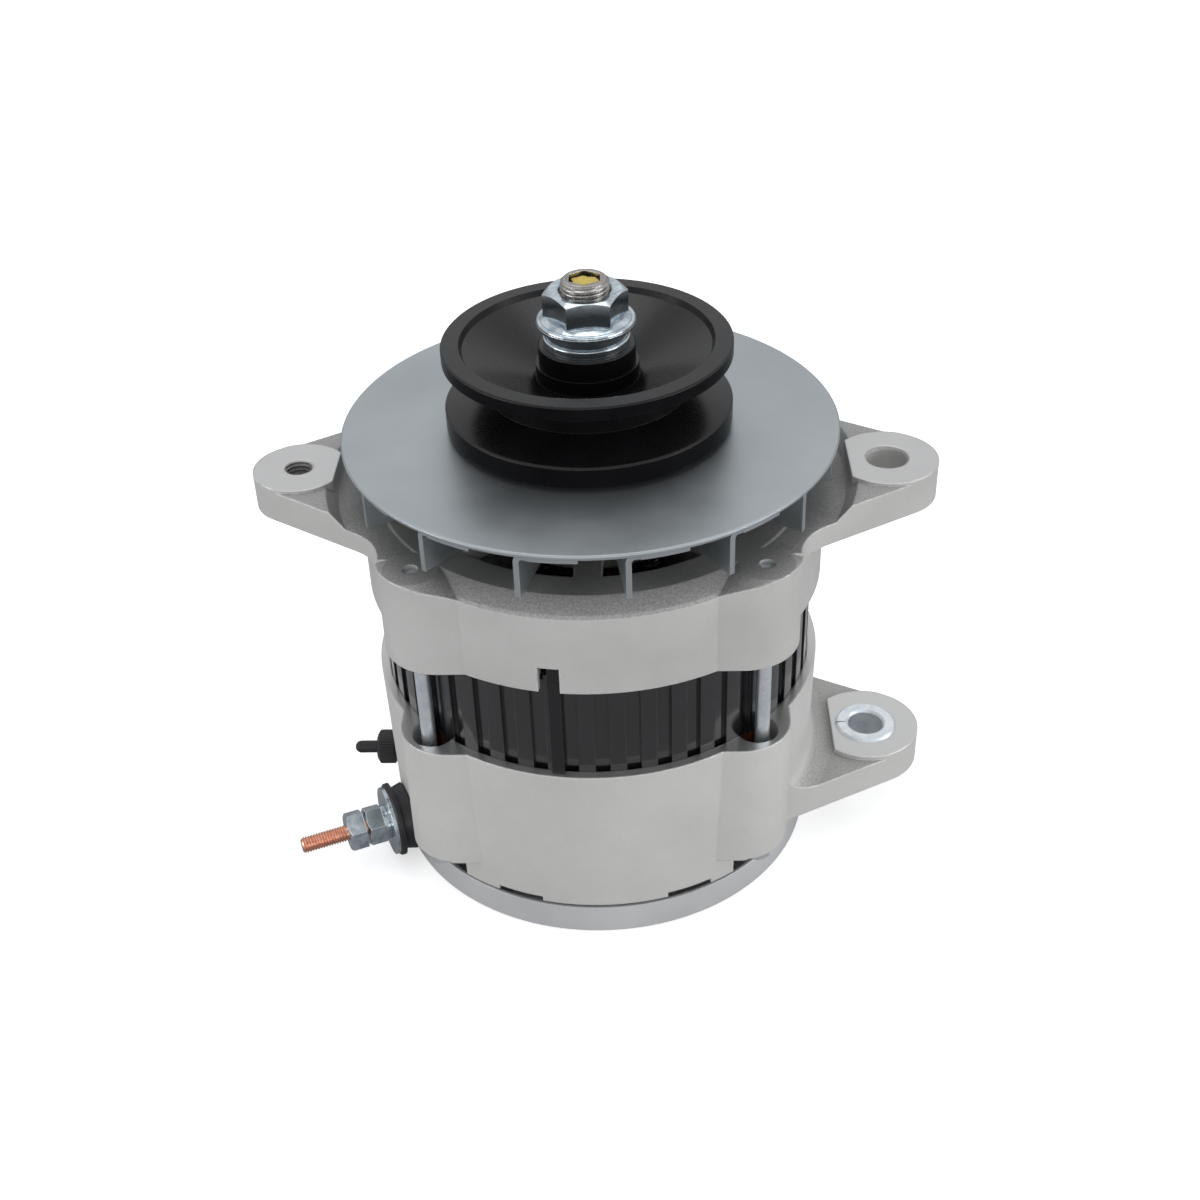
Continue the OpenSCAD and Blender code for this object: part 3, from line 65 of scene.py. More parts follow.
class Graph:
    """Builds one procedural material."""

    def __init__(self, name):
        self.mat = bpy.data.materials.new(name)
        self.mat.use_nodes = True
        self.tree = self.mat.node_tree
        self.shader = self.tree.nodes["Principled BSDF"]
        self.coord = self.tree.nodes.new("ShaderNodeTexCoord").outputs["Object"]

    def add(self, kind, **settings):
        node = self.tree.nodes.new(kind)
        for key, value in settings.items():
            setattr(node, key, value)
        return node

    def link(self, a, b):
        self.tree.links.new(a, b)

    def noise(self, scale, detail=4.0, rough=0.55, stretch=None):
        node = self.add("ShaderNodeTexNoise")
        node.inputs["Scale"].default_value = scale
        node.inputs["Detail"].default_value = detail
        node.inputs["Roughness"].default_value = rough
        if stretch:
            mapping = self.add("ShaderNodeMapping")
            mapping.inputs["Scale"].default_value = stretch
            self.link(self.coord, mapping.inputs["Vector"])
            self.link(mapping.outputs["Vector"], node.inputs["Vector"])
        else:
            self.link(self.coord, node.inputs["Vector"])
        return node.outputs["Fac"]

    def ramp(self, value, stops):
        node = self.add("ShaderNodeValToRGB")
        ramp = node.color_ramp
        while len(ramp.elements) < len(stops):
            ramp.elements.new(0.5)
        for element, (place, colour) in zip(ramp.elements, stops):
            element.position = place
            if not isinstance(colour, (tuple, list)):
                colour = (colour, colour, colour)
            element.color = (*colour, 1.0)
        self.link(value, node.inputs["Fac"])
        return node.outputs["Color"]

    def span(self, value, low, high, out_low, out_high):
        node = self.add("ShaderNodeMapRange")
        for key, number in (("From Min", low), ("From Max", high), ("To Min", out_low), ("To Max", out_high)):
            node.inputs[key].default_value = number
        self.link(value, node.inputs["Value"])
        return node.outputs["Result"]

    def math(self, operation, a, b=None):
        node = self.add("ShaderNodeMath", operation=operation)
        for socket, value in zip(node.inputs, (a, b)):
            if value is None:
                continue
            if isinstance(value, (int, float)):
                socket.default_value = value
            else:
                self.link(value, socket)
        return node.outputs[0]

    def mix(self, factor, a, b):
        node = self.add("ShaderNodeMix", data_type="RGBA")
        self.link(factor, node.inputs[0])
        for socket, value in ((node.inputs[6], a), (node.inputs[7], b)):
            if isinstance(value, (tuple, list)):
                socket.default_value = (*value, 1.0)
            else:
                self.link(value, socket)
        return node.outputs[2]

    def blend(self, factor, a, b):
        node = self.add("ShaderNodeMix", data_type="FLOAT")
        self.link(factor, node.inputs[0])
        for socket, value in ((node.inputs[2], a), (node.inputs[3], b)):
            if isinstance(value, (int, float)):
                socket.default_value = value
            else:
                self.link(value, socket)
        return node.outputs[0]

    def xyz(self):
        node = self.add("ShaderNodeSeparateXYZ")
        self.link(self.coord, node.inputs[0])
        return node.outputs

    def edge_wear_and_highlight(self, radius, low=0.02, high=0.25):
        """Near 1 where the surface turns a sharp edge; callers paint those edges lighter, part wear and part
        painted highlight.
        """
        bevel = self.add("ShaderNodeBevel", samples=4)
        bevel.inputs["Radius"].default_value = radius
        geometry = self.add("ShaderNodeNewGeometry")
        dot = self.add("ShaderNodeVectorMath", operation="DOT_PRODUCT")
        self.link(bevel.outputs["Normal"], dot.inputs[0])
        self.link(geometry.outputs["Normal"], dot.inputs[1])
        return self.span(self.math("SUBTRACT", 1.0, dot.outputs["Value"]), low, high, 0.0, 1.0)

    def hollow(self, distance):
        """Near 0 in corners and narrow gaps, 1 in the open."""
        node = self.add("ShaderNodeAmbientOcclusion", samples=4)
        node.inputs["Distance"].default_value = distance
        return node.outputs["AO"]

    def bump(self, *heights, round_edges=0.0):
        """Heights are (value, strength, distance). round_edges softens the corners in the shading."""
        normal = None
        if round_edges:
            bevel = self.add("ShaderNodeBevel", samples=4)
            bevel.inputs["Radius"].default_value = round_edges
            normal = bevel.outputs["Normal"]
        for value, strength, distance in heights:
            node = self.add("ShaderNodeBump")
            node.inputs["Strength"].default_value = strength
            node.inputs["Distance"].default_value = distance
            self.link(value, node.inputs["Height"])
            if normal is not None:
                self.link(normal, node.inputs["Normal"])
            normal = node.outputs["Normal"]
        self.link(normal, self.shader.inputs["Normal"])

    def set(self, **values):
        names = {"base": "Base Color", "metallic": "Metallic", "rough": "Roughness", "coat": "Coat Weight",
                 "coat_rough": "Coat Roughness", "specular": "Specular IOR Level"}
        for key, value in values.items():
            socket = self.shader.inputs[names[key]]
            if isinstance(value, (tuple, list)):
                socket.default_value = (*value, 1.0)
            elif isinstance(value, (int, float)):
                socket.default_value = value
            else:
                self.link(value, socket)
        return self.mat


def cast_metal(name, light, dark, pads):
    """Shot-blasted casting: dark matt grain on faces that look up, the darkness being painted shade; smooth
    light sides; sharp edges painted lighter, part wear and part painted highlight.
    pads lists (z, tolerance) of machined faces in metres."""
    g = Graph(name)
    x, y, z = g.xyz()
    geometry = g.add("ShaderNodeNewGeometry")
    split = g.add("ShaderNodeSeparateXYZ")
    g.link(geometry.outputs["True Normal"], split.inputs[0])
    upward = g.span(split.outputs[2], 0.45, 0.75, 0.0, 1.0)
    cloud = g.noise(30, 5, 0.6)
    fine = g.noise(2100, 3, 0.7)
    speck = g.noise(1500, 3, 0.75)
    tone = g.ramp(cloud, [(0.3, dark), (0.7, light)])
    tone = g.mix(g.span(speck, 0.3, 0.7, 0.0, 0.22), tone, [c * 0.80 for c in dark])
    # Grain colour for faces that look up, darker than the sides as painted shade
    grain = g.ramp(speck, [(0.36, [c * 0.50 for c in dark]), (0.66, [c * 0.86 for c in light])])
    machined = None
    for level, width in pads:
        near = g.math("LESS_THAN", g.math("ABSOLUTE", g.math("SUBTRACT", z, level)), width)
        near = g.math("MULTIPLY", near, g.math("GREATER_THAN", split.outputs[2], 0.99))
        machined = near if machined is None else g.math("MAXIMUM", machined, near)
    # Faces that look up, apart from the machined pads: blasted grain with painted shade
    blasted_and_shaded_top = g.math("MULTIPLY", upward, g.math("SUBTRACT", 1.0, machined))
    base = g.mix(g.math("MULTIPLY", blasted_and_shaded_top, 0.85), tone, grain)
    edge = g.edge_wear_and_highlight(0.0010, 0.09, 0.15)
    edge = g.math("MULTIPLY", edge, g.span(g.noise(520, 3, 0.6), 0.34, 0.52, 0.15, 1.0))
    # Sharp edges painted lighter: part wear, part painted highlight
    base = g.mix(g.math("MULTIPLY", edge, 0.9), base, (0.90, 0.89, 0.87))
    shade = g.math("MULTIPLY", blasted_and_shaded_top, g.span(g.hollow(0.03), 0.25, 0.75, 0.75, 0.0))
    base = g.mix(shade, base, [c * 0.30 for c in dark])
    base = g.mix(g.math("MULTIPLY", machined, 0.5), base, (0.86, 0.86, 0.86))
    rough = g.span(fine, 0.3, 0.7, 0.46, 0.58)
    rough = g.blend(blasted_and_shaded_top, rough, g.span(speck, 0.3, 0.7, 0.50, 0.66))
    rough = g.blend(machined, rough, 0.30)
    rough = g.blend(edge, rough, 0.38)
    g.bump((cloud, 0.12, 0.0006), (speck, 0.30, 0.00012), (fine, 0.20, 0.00006), round_edges=0.0009)
    return g.set(base=base, metallic=g.blend(machined, 0.32, 0.9), rough=rough, specular=0.5)


def sheet_metal(name, light, dark, rough_low, rough_high, metallic=0.95, round_edges=0.0003):
    g = Graph(name)
    cloud = g.noise(26, 4, 0.55)
    fine = g.noise(900, 3, 0.6)
    base = g.ramp(cloud, [(0.3, dark), (0.72, light)])
    rough = g.span(g.math("ADD", g.math("MULTIPLY", cloud, 0.6), g.math("MULTIPLY", fine, 0.4)),
                   0.35, 0.65, rough_low, rough_high)
    edge = g.edge_wear_and_highlight(0.0004)
    # Sharp edges painted lighter: part wear, part painted highlight
    base = g.mix(g.math("MULTIPLY", edge, 0.5), base, (0.85, 0.87, 0.88))
    g.bump((fine, 0.10, 0.00005), round_edges=round_edges)
    return g.set(base=base, metallic=metallic, rough=rough)


def zinc(name, light, dark, rough=0.10):
    """Bright plating: sharp reflections, pale edges (part wear, part painted highlight), and darker grey in
    the hollows.
    """
    g = Graph(name)
    cloud = g.noise(240, 4, 0.65)
    fine = g.noise(1400, 3, 0.6)
    base = g.ramp(cloud, [(0.35, dark), (0.62, light)])
    edge = g.edge_wear_and_highlight(0.0006, 0.03, 0.16)
    # Sharp edges painted paler: part wear, part painted highlight
    base = g.mix(g.math("MULTIPLY", edge, 0.8), base, (0.95, 0.97, 0.98))
    # Darker grey in corners and narrow gaps
    base = g.mix(g.span(g.hollow(0.002), 0.35, 0.9, 0.55, 0.0), base, [c * 0.35 for c in dark])
    g.bump((fine, 0.03, 0.00002), (cloud, 0.03, 0.0001), round_edges=0.0004)
    return g.set(base=base, metallic=1.0, rough=g.span(cloud, 0.35, 0.65, rough + 0.08, rough))


def black_gloss(name, base_colour, lift, rough_low, rough_high, coat=0.0, lamination=False, edge_wear_and_highlight_tone=0.10,
                specular=0.5, side=None):
    """side is the gloss of upright faces, where it differs from that of faces that look up."""
    g = Graph(name)
    if side is not None:
        geometry = g.add("ShaderNodeNewGeometry")
        split = g.add("ShaderNodeSeparateXYZ")
        g.link(geometry.outputs["Normal"], split.inputs[0])
        specular = g.span(split.outputs[2], 0.15, 0.6, side, specular)
    cloud = g.noise(45, 4, 0.6)
    fine = g.noise(1100, 3, 0.65)
    base = g.ramp(cloud, [(0.35, base_colour), (0.75, lift)])
    edge = g.edge_wear_and_highlight(0.0004, 0.05, 0.25)
    # Sharp edges painted lighter grey: part wear, part painted highlight
    base = g.mix(g.math("MULTIPLY", edge, 0.5), base, (edge_wear_and_highlight_tone, edge_wear_and_highlight_tone, edge_wear_and_highlight_tone * 1.03))
    heights = [(fine, 0.05, 0.00003), (cloud, 0.15, 0.0004)]
    if lamination:
        heights.append((g.noise(260, 3, 0.6, stretch=(1, 1, 0.05)), 0.30, 0.0004))
    g.bump(*heights, round_edges=0.0010 if lamination else 0.0004)
    return g.set(base=base, metallic=0.0, rough=g.span(fine, 0.3, 0.7, rough_low, rough_high),
                 coat=coat, coat_rough=0.12, specular=specular)


def plain(name, light, dark, rough_low, rough_high, metallic=0.0, scale=200.0, bump=0.2):
    g = Graph(name)
    cloud = g.noise(scale, 4, 0.6)
    fine = g.noise(scale * 8, 2, 0.6)
    g.bump((cloud, bump, 0.0002), (fine, bump * 0.6, 0.00006), round_edges=0.0003)
    return g.set(base=g.ramp(cloud, [(0.3, dark), (0.7, light)]), metallic=metallic,
                 rough=g.span(fine, 0.3, 0.7, rough_low, rough_high))


front_cast = cast_metal("front casting", (0.56, 0.557, 0.545), (0.48, 0.476, 0.465), [(0.147, 0.0003)])
rear_cast = cast_metal("rear casting", (0.63, 0.625, 0.61), (0.56, 0.555, 0.54),
                       [(0.031, 0.0003), (0.074, 0.0003)])
cover_metal = sheet_metal("cover sheet", (0.68, 0.69, 0.70), (0.60, 0.61, 0.62), 0.36, 0.48, metallic=0.45,
                          round_edges=0.0008)
fan_steel = sheet_metal("fan steel", (0.50, 0.54, 0.56), (0.44, 0.48, 0.50), 0.36, 0.46)
pulley_black = black_gloss("pulley paint", (0.004, 0.004, 0.0045), (0.008, 0.008, 0.009), 0.20, 0.30,
                           edge_wear_and_highlight_tone=0.04, specular=0.4, side=0.03)
zinc_bright = zinc("zinc plate", (0.74, 0.83, 0.89), (0.42, 0.49, 0.54), 0.10)
bolt_zinc = zinc("bolt plate", (0.95, 0.98, 1.0), (0.74, 0.82, 0.88), 0.38)
shaft_steel = zinc("turned steel", (0.50, 0.475, 0.45), (0.30, 0.275, 0.25), 0.22)
bearing_steel = zinc("ground steel", (0.72, 0.72, 0.74), (0.60, 0.60, 0.62), 0.15)
cage_brass = plain("cage brass", (0.62, 0.46, 0.22), (0.48, 0.35, 0.16), 0.25, 0.4, metallic=1.0)
pole_iron = plain("pole iron", (0.20, 0.19, 0.19), (0.10, 0.095, 0.095), 0.4, 0.6, metallic=0.8, scale=90)
coil_copper = plain("varnished winding", (0.30, 0.11, 0.04), (0.16, 0.05, 0.02), 0.25, 0.45,
                    scale=400, bump=0.7)
stator_black = black_gloss("stator varnish", (0.003, 0.003, 0.0035), (0.008, 0.008, 0.009), 0.14, 0.22,
                           coat=1.0, lamination=True, edge_wear_and_highlight_tone=0.06)
strip_black = black_gloss("strip sleeve", (0.004, 0.004, 0.005), (0.008, 0.008, 0.009), 0.25, 0.4)
plate_alu = plain("rectifier plate", (0.60, 0.60, 0.61), (0.48, 0.48, 0.49), 0.35, 0.5, metallic=0.9)
diode_can = plain("diode can", (0.52, 0.52, 0.54), (0.40, 0.40, 0.42), 0.3, 0.42, metallic=0.9)
black_plastic = black_gloss("moulded black", (0.012, 0.0125, 0.015), (0.022, 0.023, 0.027), 0.34, 0.5,
                            edge_wear_and_highlight_tone=0.06)
stud_copper = plain("copper plate", (0.95, 0.56, 0.42), (0.78, 0.40, 0.29), 0.25, 0.40, metallic=1.0,
                    scale=500)
cap_rubber = plain("rubber", (0.020, 0.020, 0.022), (0.010, 0.010, 0.011), 0.45, 0.62)
paint_yellow = plain("marking paint", (0.75, 0.60, 0.10), (0.50, 0.36, 0.08), 0.35, 0.6, scale=900, bump=0.6)

by_node = {
    "rotor_shaft": shaft_steel, "shaft_key": shaft_steel, "pulley_nut": zinc_bright,
    "spring_washer": zinc_bright, "plain_washer": zinc_bright, "pulley_collar": pulley_black,
    "pulley": pulley_black, "fan_disc": fan_steel, "fan_blades": fan_steel, "fan_spacer": shaft_steel,
    "front_inner_ring": bearing_steel, "front_balls": bearing_steel, "front_ball_cage": cage_brass,
    "front_outer_ring": bearing_steel, "bearing_retainer": shaft_steel, "retainer_screws": zinc_bright,
    "front_bracket": front_cast, "drive_pole": pole_iron, "pole_ring": pole_iron,
    "joining_ring": cage_brass, "field_core": pole_iron, "field_coil": coil_copper,
    "field_screws": zinc_bright, "stator_core": stator_black, "stator_winding": coil_copper,
    "stator_strip": strip_black, "rear_bracket": rear_cast, "pivot_bush": bolt_zinc,
    "through_bolts": bolt_zinc, "bolt_washers": bolt_zinc, "rear_inner_ring": bearing_steel,
    "rear_balls": bearing_steel, "rear_ball_cage": cage_brass, "rear_outer_ring": bearing_steel,
    "positive_plate": plate_alu, "negative_plate": plate_alu, "diodes": diode_can,
    "regulator": black_plastic, "rear_cover": cover_metal, "cover_screws": zinc_bright,
    "rectifier_screws": zinc_bright, "terminal_stud": stud_copper, "terminal_insulator": black_plastic,
    "terminal_flat_washer": zinc_bright, "terminal_spring_washer": zinc_bright,
    "terminal_inner_nut": zinc_bright, "terminal_outer_nut": zinc_bright,
    "sense_terminal": black_plastic, "sense_cap": cap_rubber,
}
for name, material in by_node.items():
    mesh = nodes[name].data
    mesh.materials.clear()
    mesh.materials.append(material)


# Mesh helpers; sizes in millimetres, placed by a matrix in metres

def make(name, points, faces, material, matrix=None, smooth_angle=35.0):
    mesh = bpy.data.meshes.new(name)
    mesh.from_pydata([tuple(c * MM for c in p) for p in points], [], faces)
    if matrix is not None:
        mesh.transform(matrix)
    mesh.validate()
    mesh.update()
    mesh.shade_smooth()
    mesh.set_sharp_from_angle(angle=math.radians(smooth_angle))
    obj = bpy.data.objects.new(name, mesh)
    bpy.context.scene.collection.objects.link(obj)
    mesh.materials.append(material)
    return obj


def polar(radius, angle, z):
    return (radius * math.cos(angle), radius * math.sin(angle), z)


def turned_rod(name, sections, thread, material, around=72, step=0.25, socket=None, matrix=None):
    """A solid of revolution with a helical thread.
    sections: (z, r) along the axis; thread: (z0, z1, r, depth, pitch); socket: (across flats, depth)."""
    z0, z1, crest, depth, pitch = thread
    rows = []
    for (za, ra), (zb, rb) in zip(sections[:-1], sections[1:]):
        rows.append((za, ra))
        if zb > za and za >= z0 - 1e-6 and zb <= z1 + 1e-6:
            count = max(1, int((zb - za) / step))
            rows += [(za + (zb - za) * i / count, ra + (rb - ra) * i / count) for i in range(1, count)]
    rows.append(sections[-1])
    points, faces = [], []
    for z, r in rows:
        for k in range(around):
            angle = 2 * math.pi * k / around
            radius = r
            if z0 <= z <= z1:
                phase = (z / pitch - k / around) % 1.0
                groove = max(0.0, 1.0 - abs(phase - 0.5) * 2.6)
                radius = min(r, crest - depth * groove)
            points.append(polar(radius, angle, z))
    for i in range(len(rows) - 1):
        for k in range(around):
            n = (k + 1) % around
            faces.append((i * around + k, i * around + n, (i + 1) * around + n, (i + 1) * around + k))
    foot = len(points)
    points.append((0, 0, rows[0][0]))
    faces += [(foot, (k + 1) % around, k) for k in range(around)]
    last = (len(rows) - 1) * around
    top_z = rows[-1][0]
    if socket:
        flats, sink = socket
        rim, floor = len(points), len(points) + around
        for z in (top_z, top_z - sink):
            for k in range(around):
                angle = 2 * math.pi * k / around
                local = (angle + math.pi / 6) % (math.pi / 3) - math.pi / 6
                radius = flats / 2 / math.cos(local)
                points.append(polar(radius, angle, z))
        centre = len(points)
        points.append((0, 0, top_z - sink - 1.2))
        for k in range(around):
            n = (k + 1) % around
            faces.append((last + k, last + n, rim + n, rim + k))
            faces.append((rim + k, rim + n, floor + n, floor + k))
            faces.append((floor + k, floor + n, centre))
    else:
        centre = len(points)
        points.append((0, 0, top_z))
        faces += [(last + k, last + (k + 1) % around, centre) for k in range(around)]
    return make(name, points, faces, material, matrix)


def along(angle, z):
    """Turns a piece's +Z outwards along a bearing at a height."""
    return (Matrix.Translation((0, 0, z * MM)) @ Matrix.Rotation(angle, 4, "Z")
            @ Matrix.Rotation(math.pi / 2, 4, "Y"))


# The shaft with its thread, socket and turned seats
shaft = turned_rod(
    "shaft_turned",
    [(SHAFT_FOOT, 6.5), (SHAFT_FOOT + 1, 7.5), (BEARING_TOP, 7.5), (BEARING_TOP, 9.0), (HUB_FOOT - 2, 9.0),
     (HUB_FOOT, 10.3), (BEARING_FRONT, 10.3), (BEARING_FRONT, 8.5), (COLLAR_TOP - 1, 8.5),
     (COLLAR_TOP - 0.4, 7.2), (COLLAR_TOP, 7.2), (COLLAR_TOP + 0.8, 8.0), (SHAFT_TOP - 1.2, 8.0),
     (SHAFT_TOP, 6.8)],
    (COLLAR_TOP + 0.8, SHAFT_TOP, 8.0, 0.9, 1.5), shaft_steel, around=96, step=0.15, socket=(10.0, 5.0))
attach(shaft, "rotor")
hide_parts("rotor_shaft")

# The output stud, threaded where it is free of its nuts
stud = turned_rod(
    "output_stud_threaded",
    [(STUD_FOOT, 5.0), (STUD_FOOT + 4, 5.0), (STUD_FOOT + 4, 2.7), (STUD_FREE, 2.7), (STUD_FREE, 3.0),
     (STUD_TOP - 0.8, 3.0), (STUD_TOP, 2.2)],
    (STUD_FREE, STUD_TOP, 3.0, 0.6, 1.0), stud_copper, around=48, step=0.1,
    matrix=along(OUTPUT_ANGLE, OUTPUT_Z))
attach(stud, "housing")
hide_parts("terminal_stud")


# Internal thread of the adjusting lug
def threaded_sleeve(name, wall, crest, depth, pitch, z0, z1, lead, material, matrix, around=96, step=0.1):
    count = int((z1 - z0) / step)
    points, faces = [], []
    for i in range(count + 1):
        z = z0 + (z1 - z0) * i / count
        end = min(z - z0, z1 - z)
        for k in range(around):
            angle = 2 * math.pi * k / around
            phase = (z / pitch - k / around) % 1.0
            ridge = max(0.0, 1.0 - abs(phase - 0.5) * 2.6)
            radius = crest - depth * ridge
            if end < lead:
                radius = max(radius, crest - end / lead * depth)
            points.append(polar(radius, angle, z))
    for i in range(count):
        for k in range(around):
            n = (k + 1) % around
            faces.append((i * around + k, (i + 1) * around + k, (i + 1) * around + n, i * around + n))
    rims = []
    for row in (0, count):
        rims.append(len(points))
        z = z0 if row == 0 else z1
        for k in range(around):
            angle = 2 * math.pi * k / around
            points.append(polar(wall, angle, z))
    for k in range(around):
        n = (k + 1) % around
        faces.append((k, n, rims[0] + n, rims[0] + k))
        faces.append((count * around + n, count * around + k, rims[1] + k, rims[1] + n))
        faces.append((rims[0] + k, rims[0] + n, rims[1] + n, rims[1] + k))
    return make(name, points, faces, material, matrix)


sleeve = threaded_sleeve(
    "adjusting_thread_turns", wall=5.02, crest=4.98, depth=0.65, pitch=1.5, z0=TAPPED_FOOT, z1=LUG_TOP,
    lead=0.8, material=front_cast, matrix=Matrix.Translation((TAPPED_X * MM, 0, 0)))
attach(sleeve, "housing")


# Small terminal with its knurled collar
def knurled_collar(name, sections, ridges, depth, material, matrix, around=216):
    """sections: (z, r, share of the knurl's depth)."""
    points, faces = [], []
    for z, r, share in sections:
        for k in range(around):
            angle = 2 * math.pi * k / around
            radius = r - depth * share * (0.5 - 0.5 * math.cos(ridges * angle)) ** 2
            points.append(polar(radius, angle, z))
    for i in range(len(sections) - 1):
        for k in range(around):
            n = (k + 1) % around
            faces.append((i * around + k, i * around + n, (i + 1) * around + n, (i + 1) * around + k))
    low, high = len(points), len(points) + 1
    points += [(0, 0, sections[0][0]), (0, 0, sections[-1][0])]
    last = (len(sections) - 1) * around
    for k in range(around):
        n = (k + 1) % around
        faces.append((low, n, k))
        faces.append((high, last + k, last + n))
    return make(name, points, faces, material, matrix)


collar = knurled_collar(
    "small_terminal_knurled",
    [(SENSE_SEAT, 3.0, 0), (SENSE_FOOT, 3.0, 0), (SENSE_FOOT, 5.5, 0), (SENSE_FOOT + 1.1, 5.5, 0),
     (SENSE_FOOT + 1.2, 6.1, 0.3), (SENSE_FOOT + 1.5, 6.5, 1), (SENSE_FOOT + 6.9, 6.5, 1),
     (SENSE_FOOT + 7.3, 6.1, 0.4), (SENSE_FOOT + 7.8, 5.2, 0), (SENSE_FOOT + 8.0, 4.9, 0)],
    ridges=36, depth=0.5, material=black_plastic, matrix=along(math.pi, SENSE_Z))
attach(collar, "housing")
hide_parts("sense_terminal")


# Dab of paint in the end of the shaft's socket
def paint_dab(name, reach, z, material):
    around, rings = 40, 6
    points = [(0, 0, z + 0.5)]
    for i in range(1, rings + 1):
        for k in range(around):
            angle = 2 * math.pi * k / around
            wave = 0.86 + 0.08 * math.sin(3 * angle + 0.6) + 0.06 * math.sin(7 * angle + 2.0)
            radius = reach * wave * i / rings
            height = 0.5 * (1 - (i / rings) ** 3) + 0.08 * math.sin(5 * angle + i)
            points.append(polar(radius, angle, z + height))
    faces = [(0, 1 + k, 1 + (k + 1) % around) for k in range(around)]
    for i in range(rings - 1):
        for k in range(around):
            n = (k + 1) % around
            a, b = 1 + i * around, 1 + (i + 1) * around
            faces.append((a + k, b + k, b + n, a + n))
    return make(name, points, faces, material)


dab = paint_dab("socket_paint", reach=4.9, z=SHAFT_TOP - 1.3, material=paint_yellow)
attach(dab, "rotor")


# Rolled edge of the pulley nut's flange
def rolled_edge(name, ring, thick, z, material, around=120, turns=16):
    points, faces = [], []
    for k in range(around):
        angle = 2 * math.pi * k / around
        for i in range(turns):
            t = 2 * math.pi * i / turns
            radius = ring + thick * math.cos(t)
            points.append(polar(radius, angle, z + thick * math.sin(t)))
    for k in range(around):
        for i in range(turns):
            n, j = (k + 1) % around, (i + 1) % turns
            faces.append((k * turns + i, n * turns + i, n * turns + j, k * turns + j))
    return make(name, points, faces, material)


roll = rolled_edge("nut_flange_roll", ring=15.25, thick=0.9, z=NUT_FOOT + 1.15, material=zinc_bright)
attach(roll, "rotor")

bpy.context.view_layer.update()

# Floor, lamps and camera

def floor_material():
    g = Graph("paper floor")
    cloud = g.noise(3, 2, 0.5)
    path = g.add("ShaderNodeLightPath")
    base = g.ramp(cloud, [(0.0, (0.90, 0.90, 0.90)), (1.0, (0.93, 0.93, 0.93))])
    base = g.mix(path.outputs["Is Camera Ray"], (0.86, 0.86, 0.86), base)
    base = g.mix(path.outputs["Is Glossy Ray"], base, (0.28, 0.28, 0.29))
    g.set(base=base, rough=1.0, specular=0.0)
    glow = g.add("ShaderNodeEmission")
    glow.inputs["Color"].default_value = (1.0, 1.0, 1.0, 1.0)
    seen = g.math("MAXIMUM", path.outputs["Is Camera Ray"], path.outputs["Is Transmission Ray"])
    seen = g.math("MAXIMUM", seen, g.math("MULTIPLY", path.outputs["Is Glossy Ray"], 0.15))
    g.link(g.math("MULTIPLY", seen, 0.50), glow.inputs["Strength"])
    both = g.add("ShaderNodeAddShader")
    g.link(g.shader.outputs[0], both.inputs[0])
    g.link(glow.outputs[0], both.inputs[1])
    g.link(both.outputs[0], g.tree.nodes["Material Output"].inputs["Surface"])
    return g.mat


def floor_disc(radius, around=96):
    points = [(0, 0, FLOOR_Z)]
    for k in range(around):
        angle = 2 * math.pi * k / around
        points.append(polar(radius, angle, FLOOR_Z))
    faces = [(0, 1 + k, 1 + (k + 1) % around) for k in range(around)]
    return make("floor", points, faces, floor_material())


floor = floor_disc(6000.0)

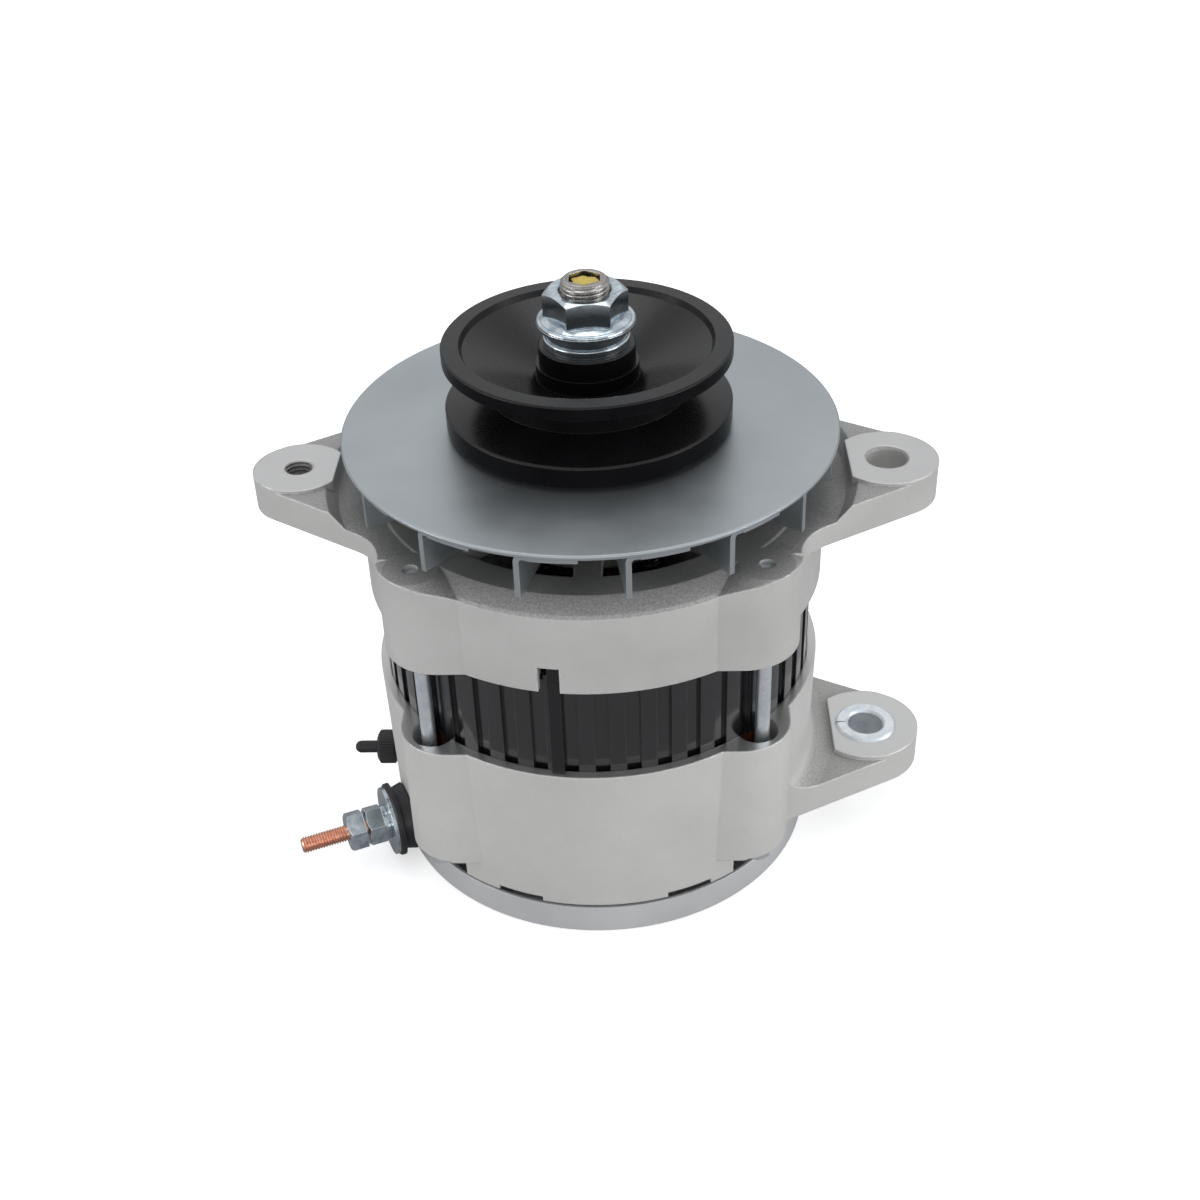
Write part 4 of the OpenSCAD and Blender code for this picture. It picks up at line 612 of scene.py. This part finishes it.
world = bpy.data.worlds.new("studio")
bpy.context.scene.world = world
world.use_nodes = True
wt = world.node_tree
background = wt.nodes["Background"]
coord = wt.nodes.new("ShaderNodeTexCoord")
split = wt.nodes.new("ShaderNodeSeparateXYZ")
wt.links.new(coord.outputs["Generated"], split.inputs[0])
ramp = wt.nodes.new("ShaderNodeValToRGB")
ramp.color_ramp.elements.new(0.5)
for stop, (place, tone) in zip(ramp.color_ramp.elements, ((0.0, 0.34), (0.45, 0.74), (0.95, 0.60))):
    stop.position = place
    stop.color = (tone, tone * 1.01, tone * 1.03, 1)
wt.links.new(split.outputs[2], ramp.inputs["Fac"])
path = wt.nodes.new("ShaderNodeLightPath")
seen = wt.nodes.new("ShaderNodeMix")
seen.data_type = "RGBA"
wt.links.new(path.outputs["Is Camera Ray"], seen.inputs[0])
wt.links.new(ramp.outputs["Color"], seen.inputs[6])
seen.inputs[7].default_value = (1.0, 1.0, 1.0, 1.0)
wt.links.new(seen.outputs[2], background.inputs["Color"])
background.inputs["Strength"].default_value = 1.0


def lamp(name, place, aim, width, height, power):
    light = bpy.data.lights.new(name, "AREA")
    light.shape = "RECTANGLE"
    light.size = width
    light.size_y = height
    light.energy = power
    obj = bpy.data.objects.new(name, light)
    obj.location = place
    obj.rotation_euler = (Vector(aim) - Vector(place)).to_track_quat("-Z", "Y").to_euler()
    bpy.context.scene.collection.objects.link(obj)
    return obj


lamp("top box", (0.0, 0.25, 1.4), (0, 0, 0.1), 1.1, 0.8, 4.0)
lamp("left box", (-1.3, -0.5, 0.35), (0, 0, 0.08), 0.9, 0.6, 5.0)
lamp("right box", (1.3, -0.5, 0.35), (0, 0, 0.08), 0.9, 0.6, 7.0)
lamp("front fill", (0.1, -1.7, 0.35), (0, 0, 0.06), 1.4, 0.5, 3.0)

camera_data = bpy.data.cameras.new("photo view")
camera_data.sensor_width = 36.0
camera_data.lens = 48.98
camera_data.clip_start = 0.01
camera_data.clip_end = 20.0
camera = bpy.data.objects.new("photo view", camera_data)
bpy.context.scene.collection.objects.link(camera)
CAMERA_AIM = Vector((0.0012, 0.0, 0.0897))
CAMERA_REACH = 0.588
pitch, roll, turn = math.radians(35.0), math.radians(-2.11), math.radians(2.2)
right = Vector((1, 0, 0))
up = Vector((0, math.sin(pitch), math.cos(pitch)))
back = Vector((0, -math.cos(pitch), math.sin(pitch)))
right_rolled = right * math.cos(roll) + up * math.sin(roll)
up_rolled = up * math.cos(roll) - right * math.sin(roll)
axes = Matrix((right_rolled, up_rolled, back)).transposed().to_4x4()
place = CAMERA_AIM + back * CAMERA_REACH
camera.matrix_world = Matrix.Rotation(turn, 4, "Z") @ Matrix.Translation(place) @ axes
bpy.context.scene.camera = camera
bpy.context.scene.view_settings.view_transform = "Standard"
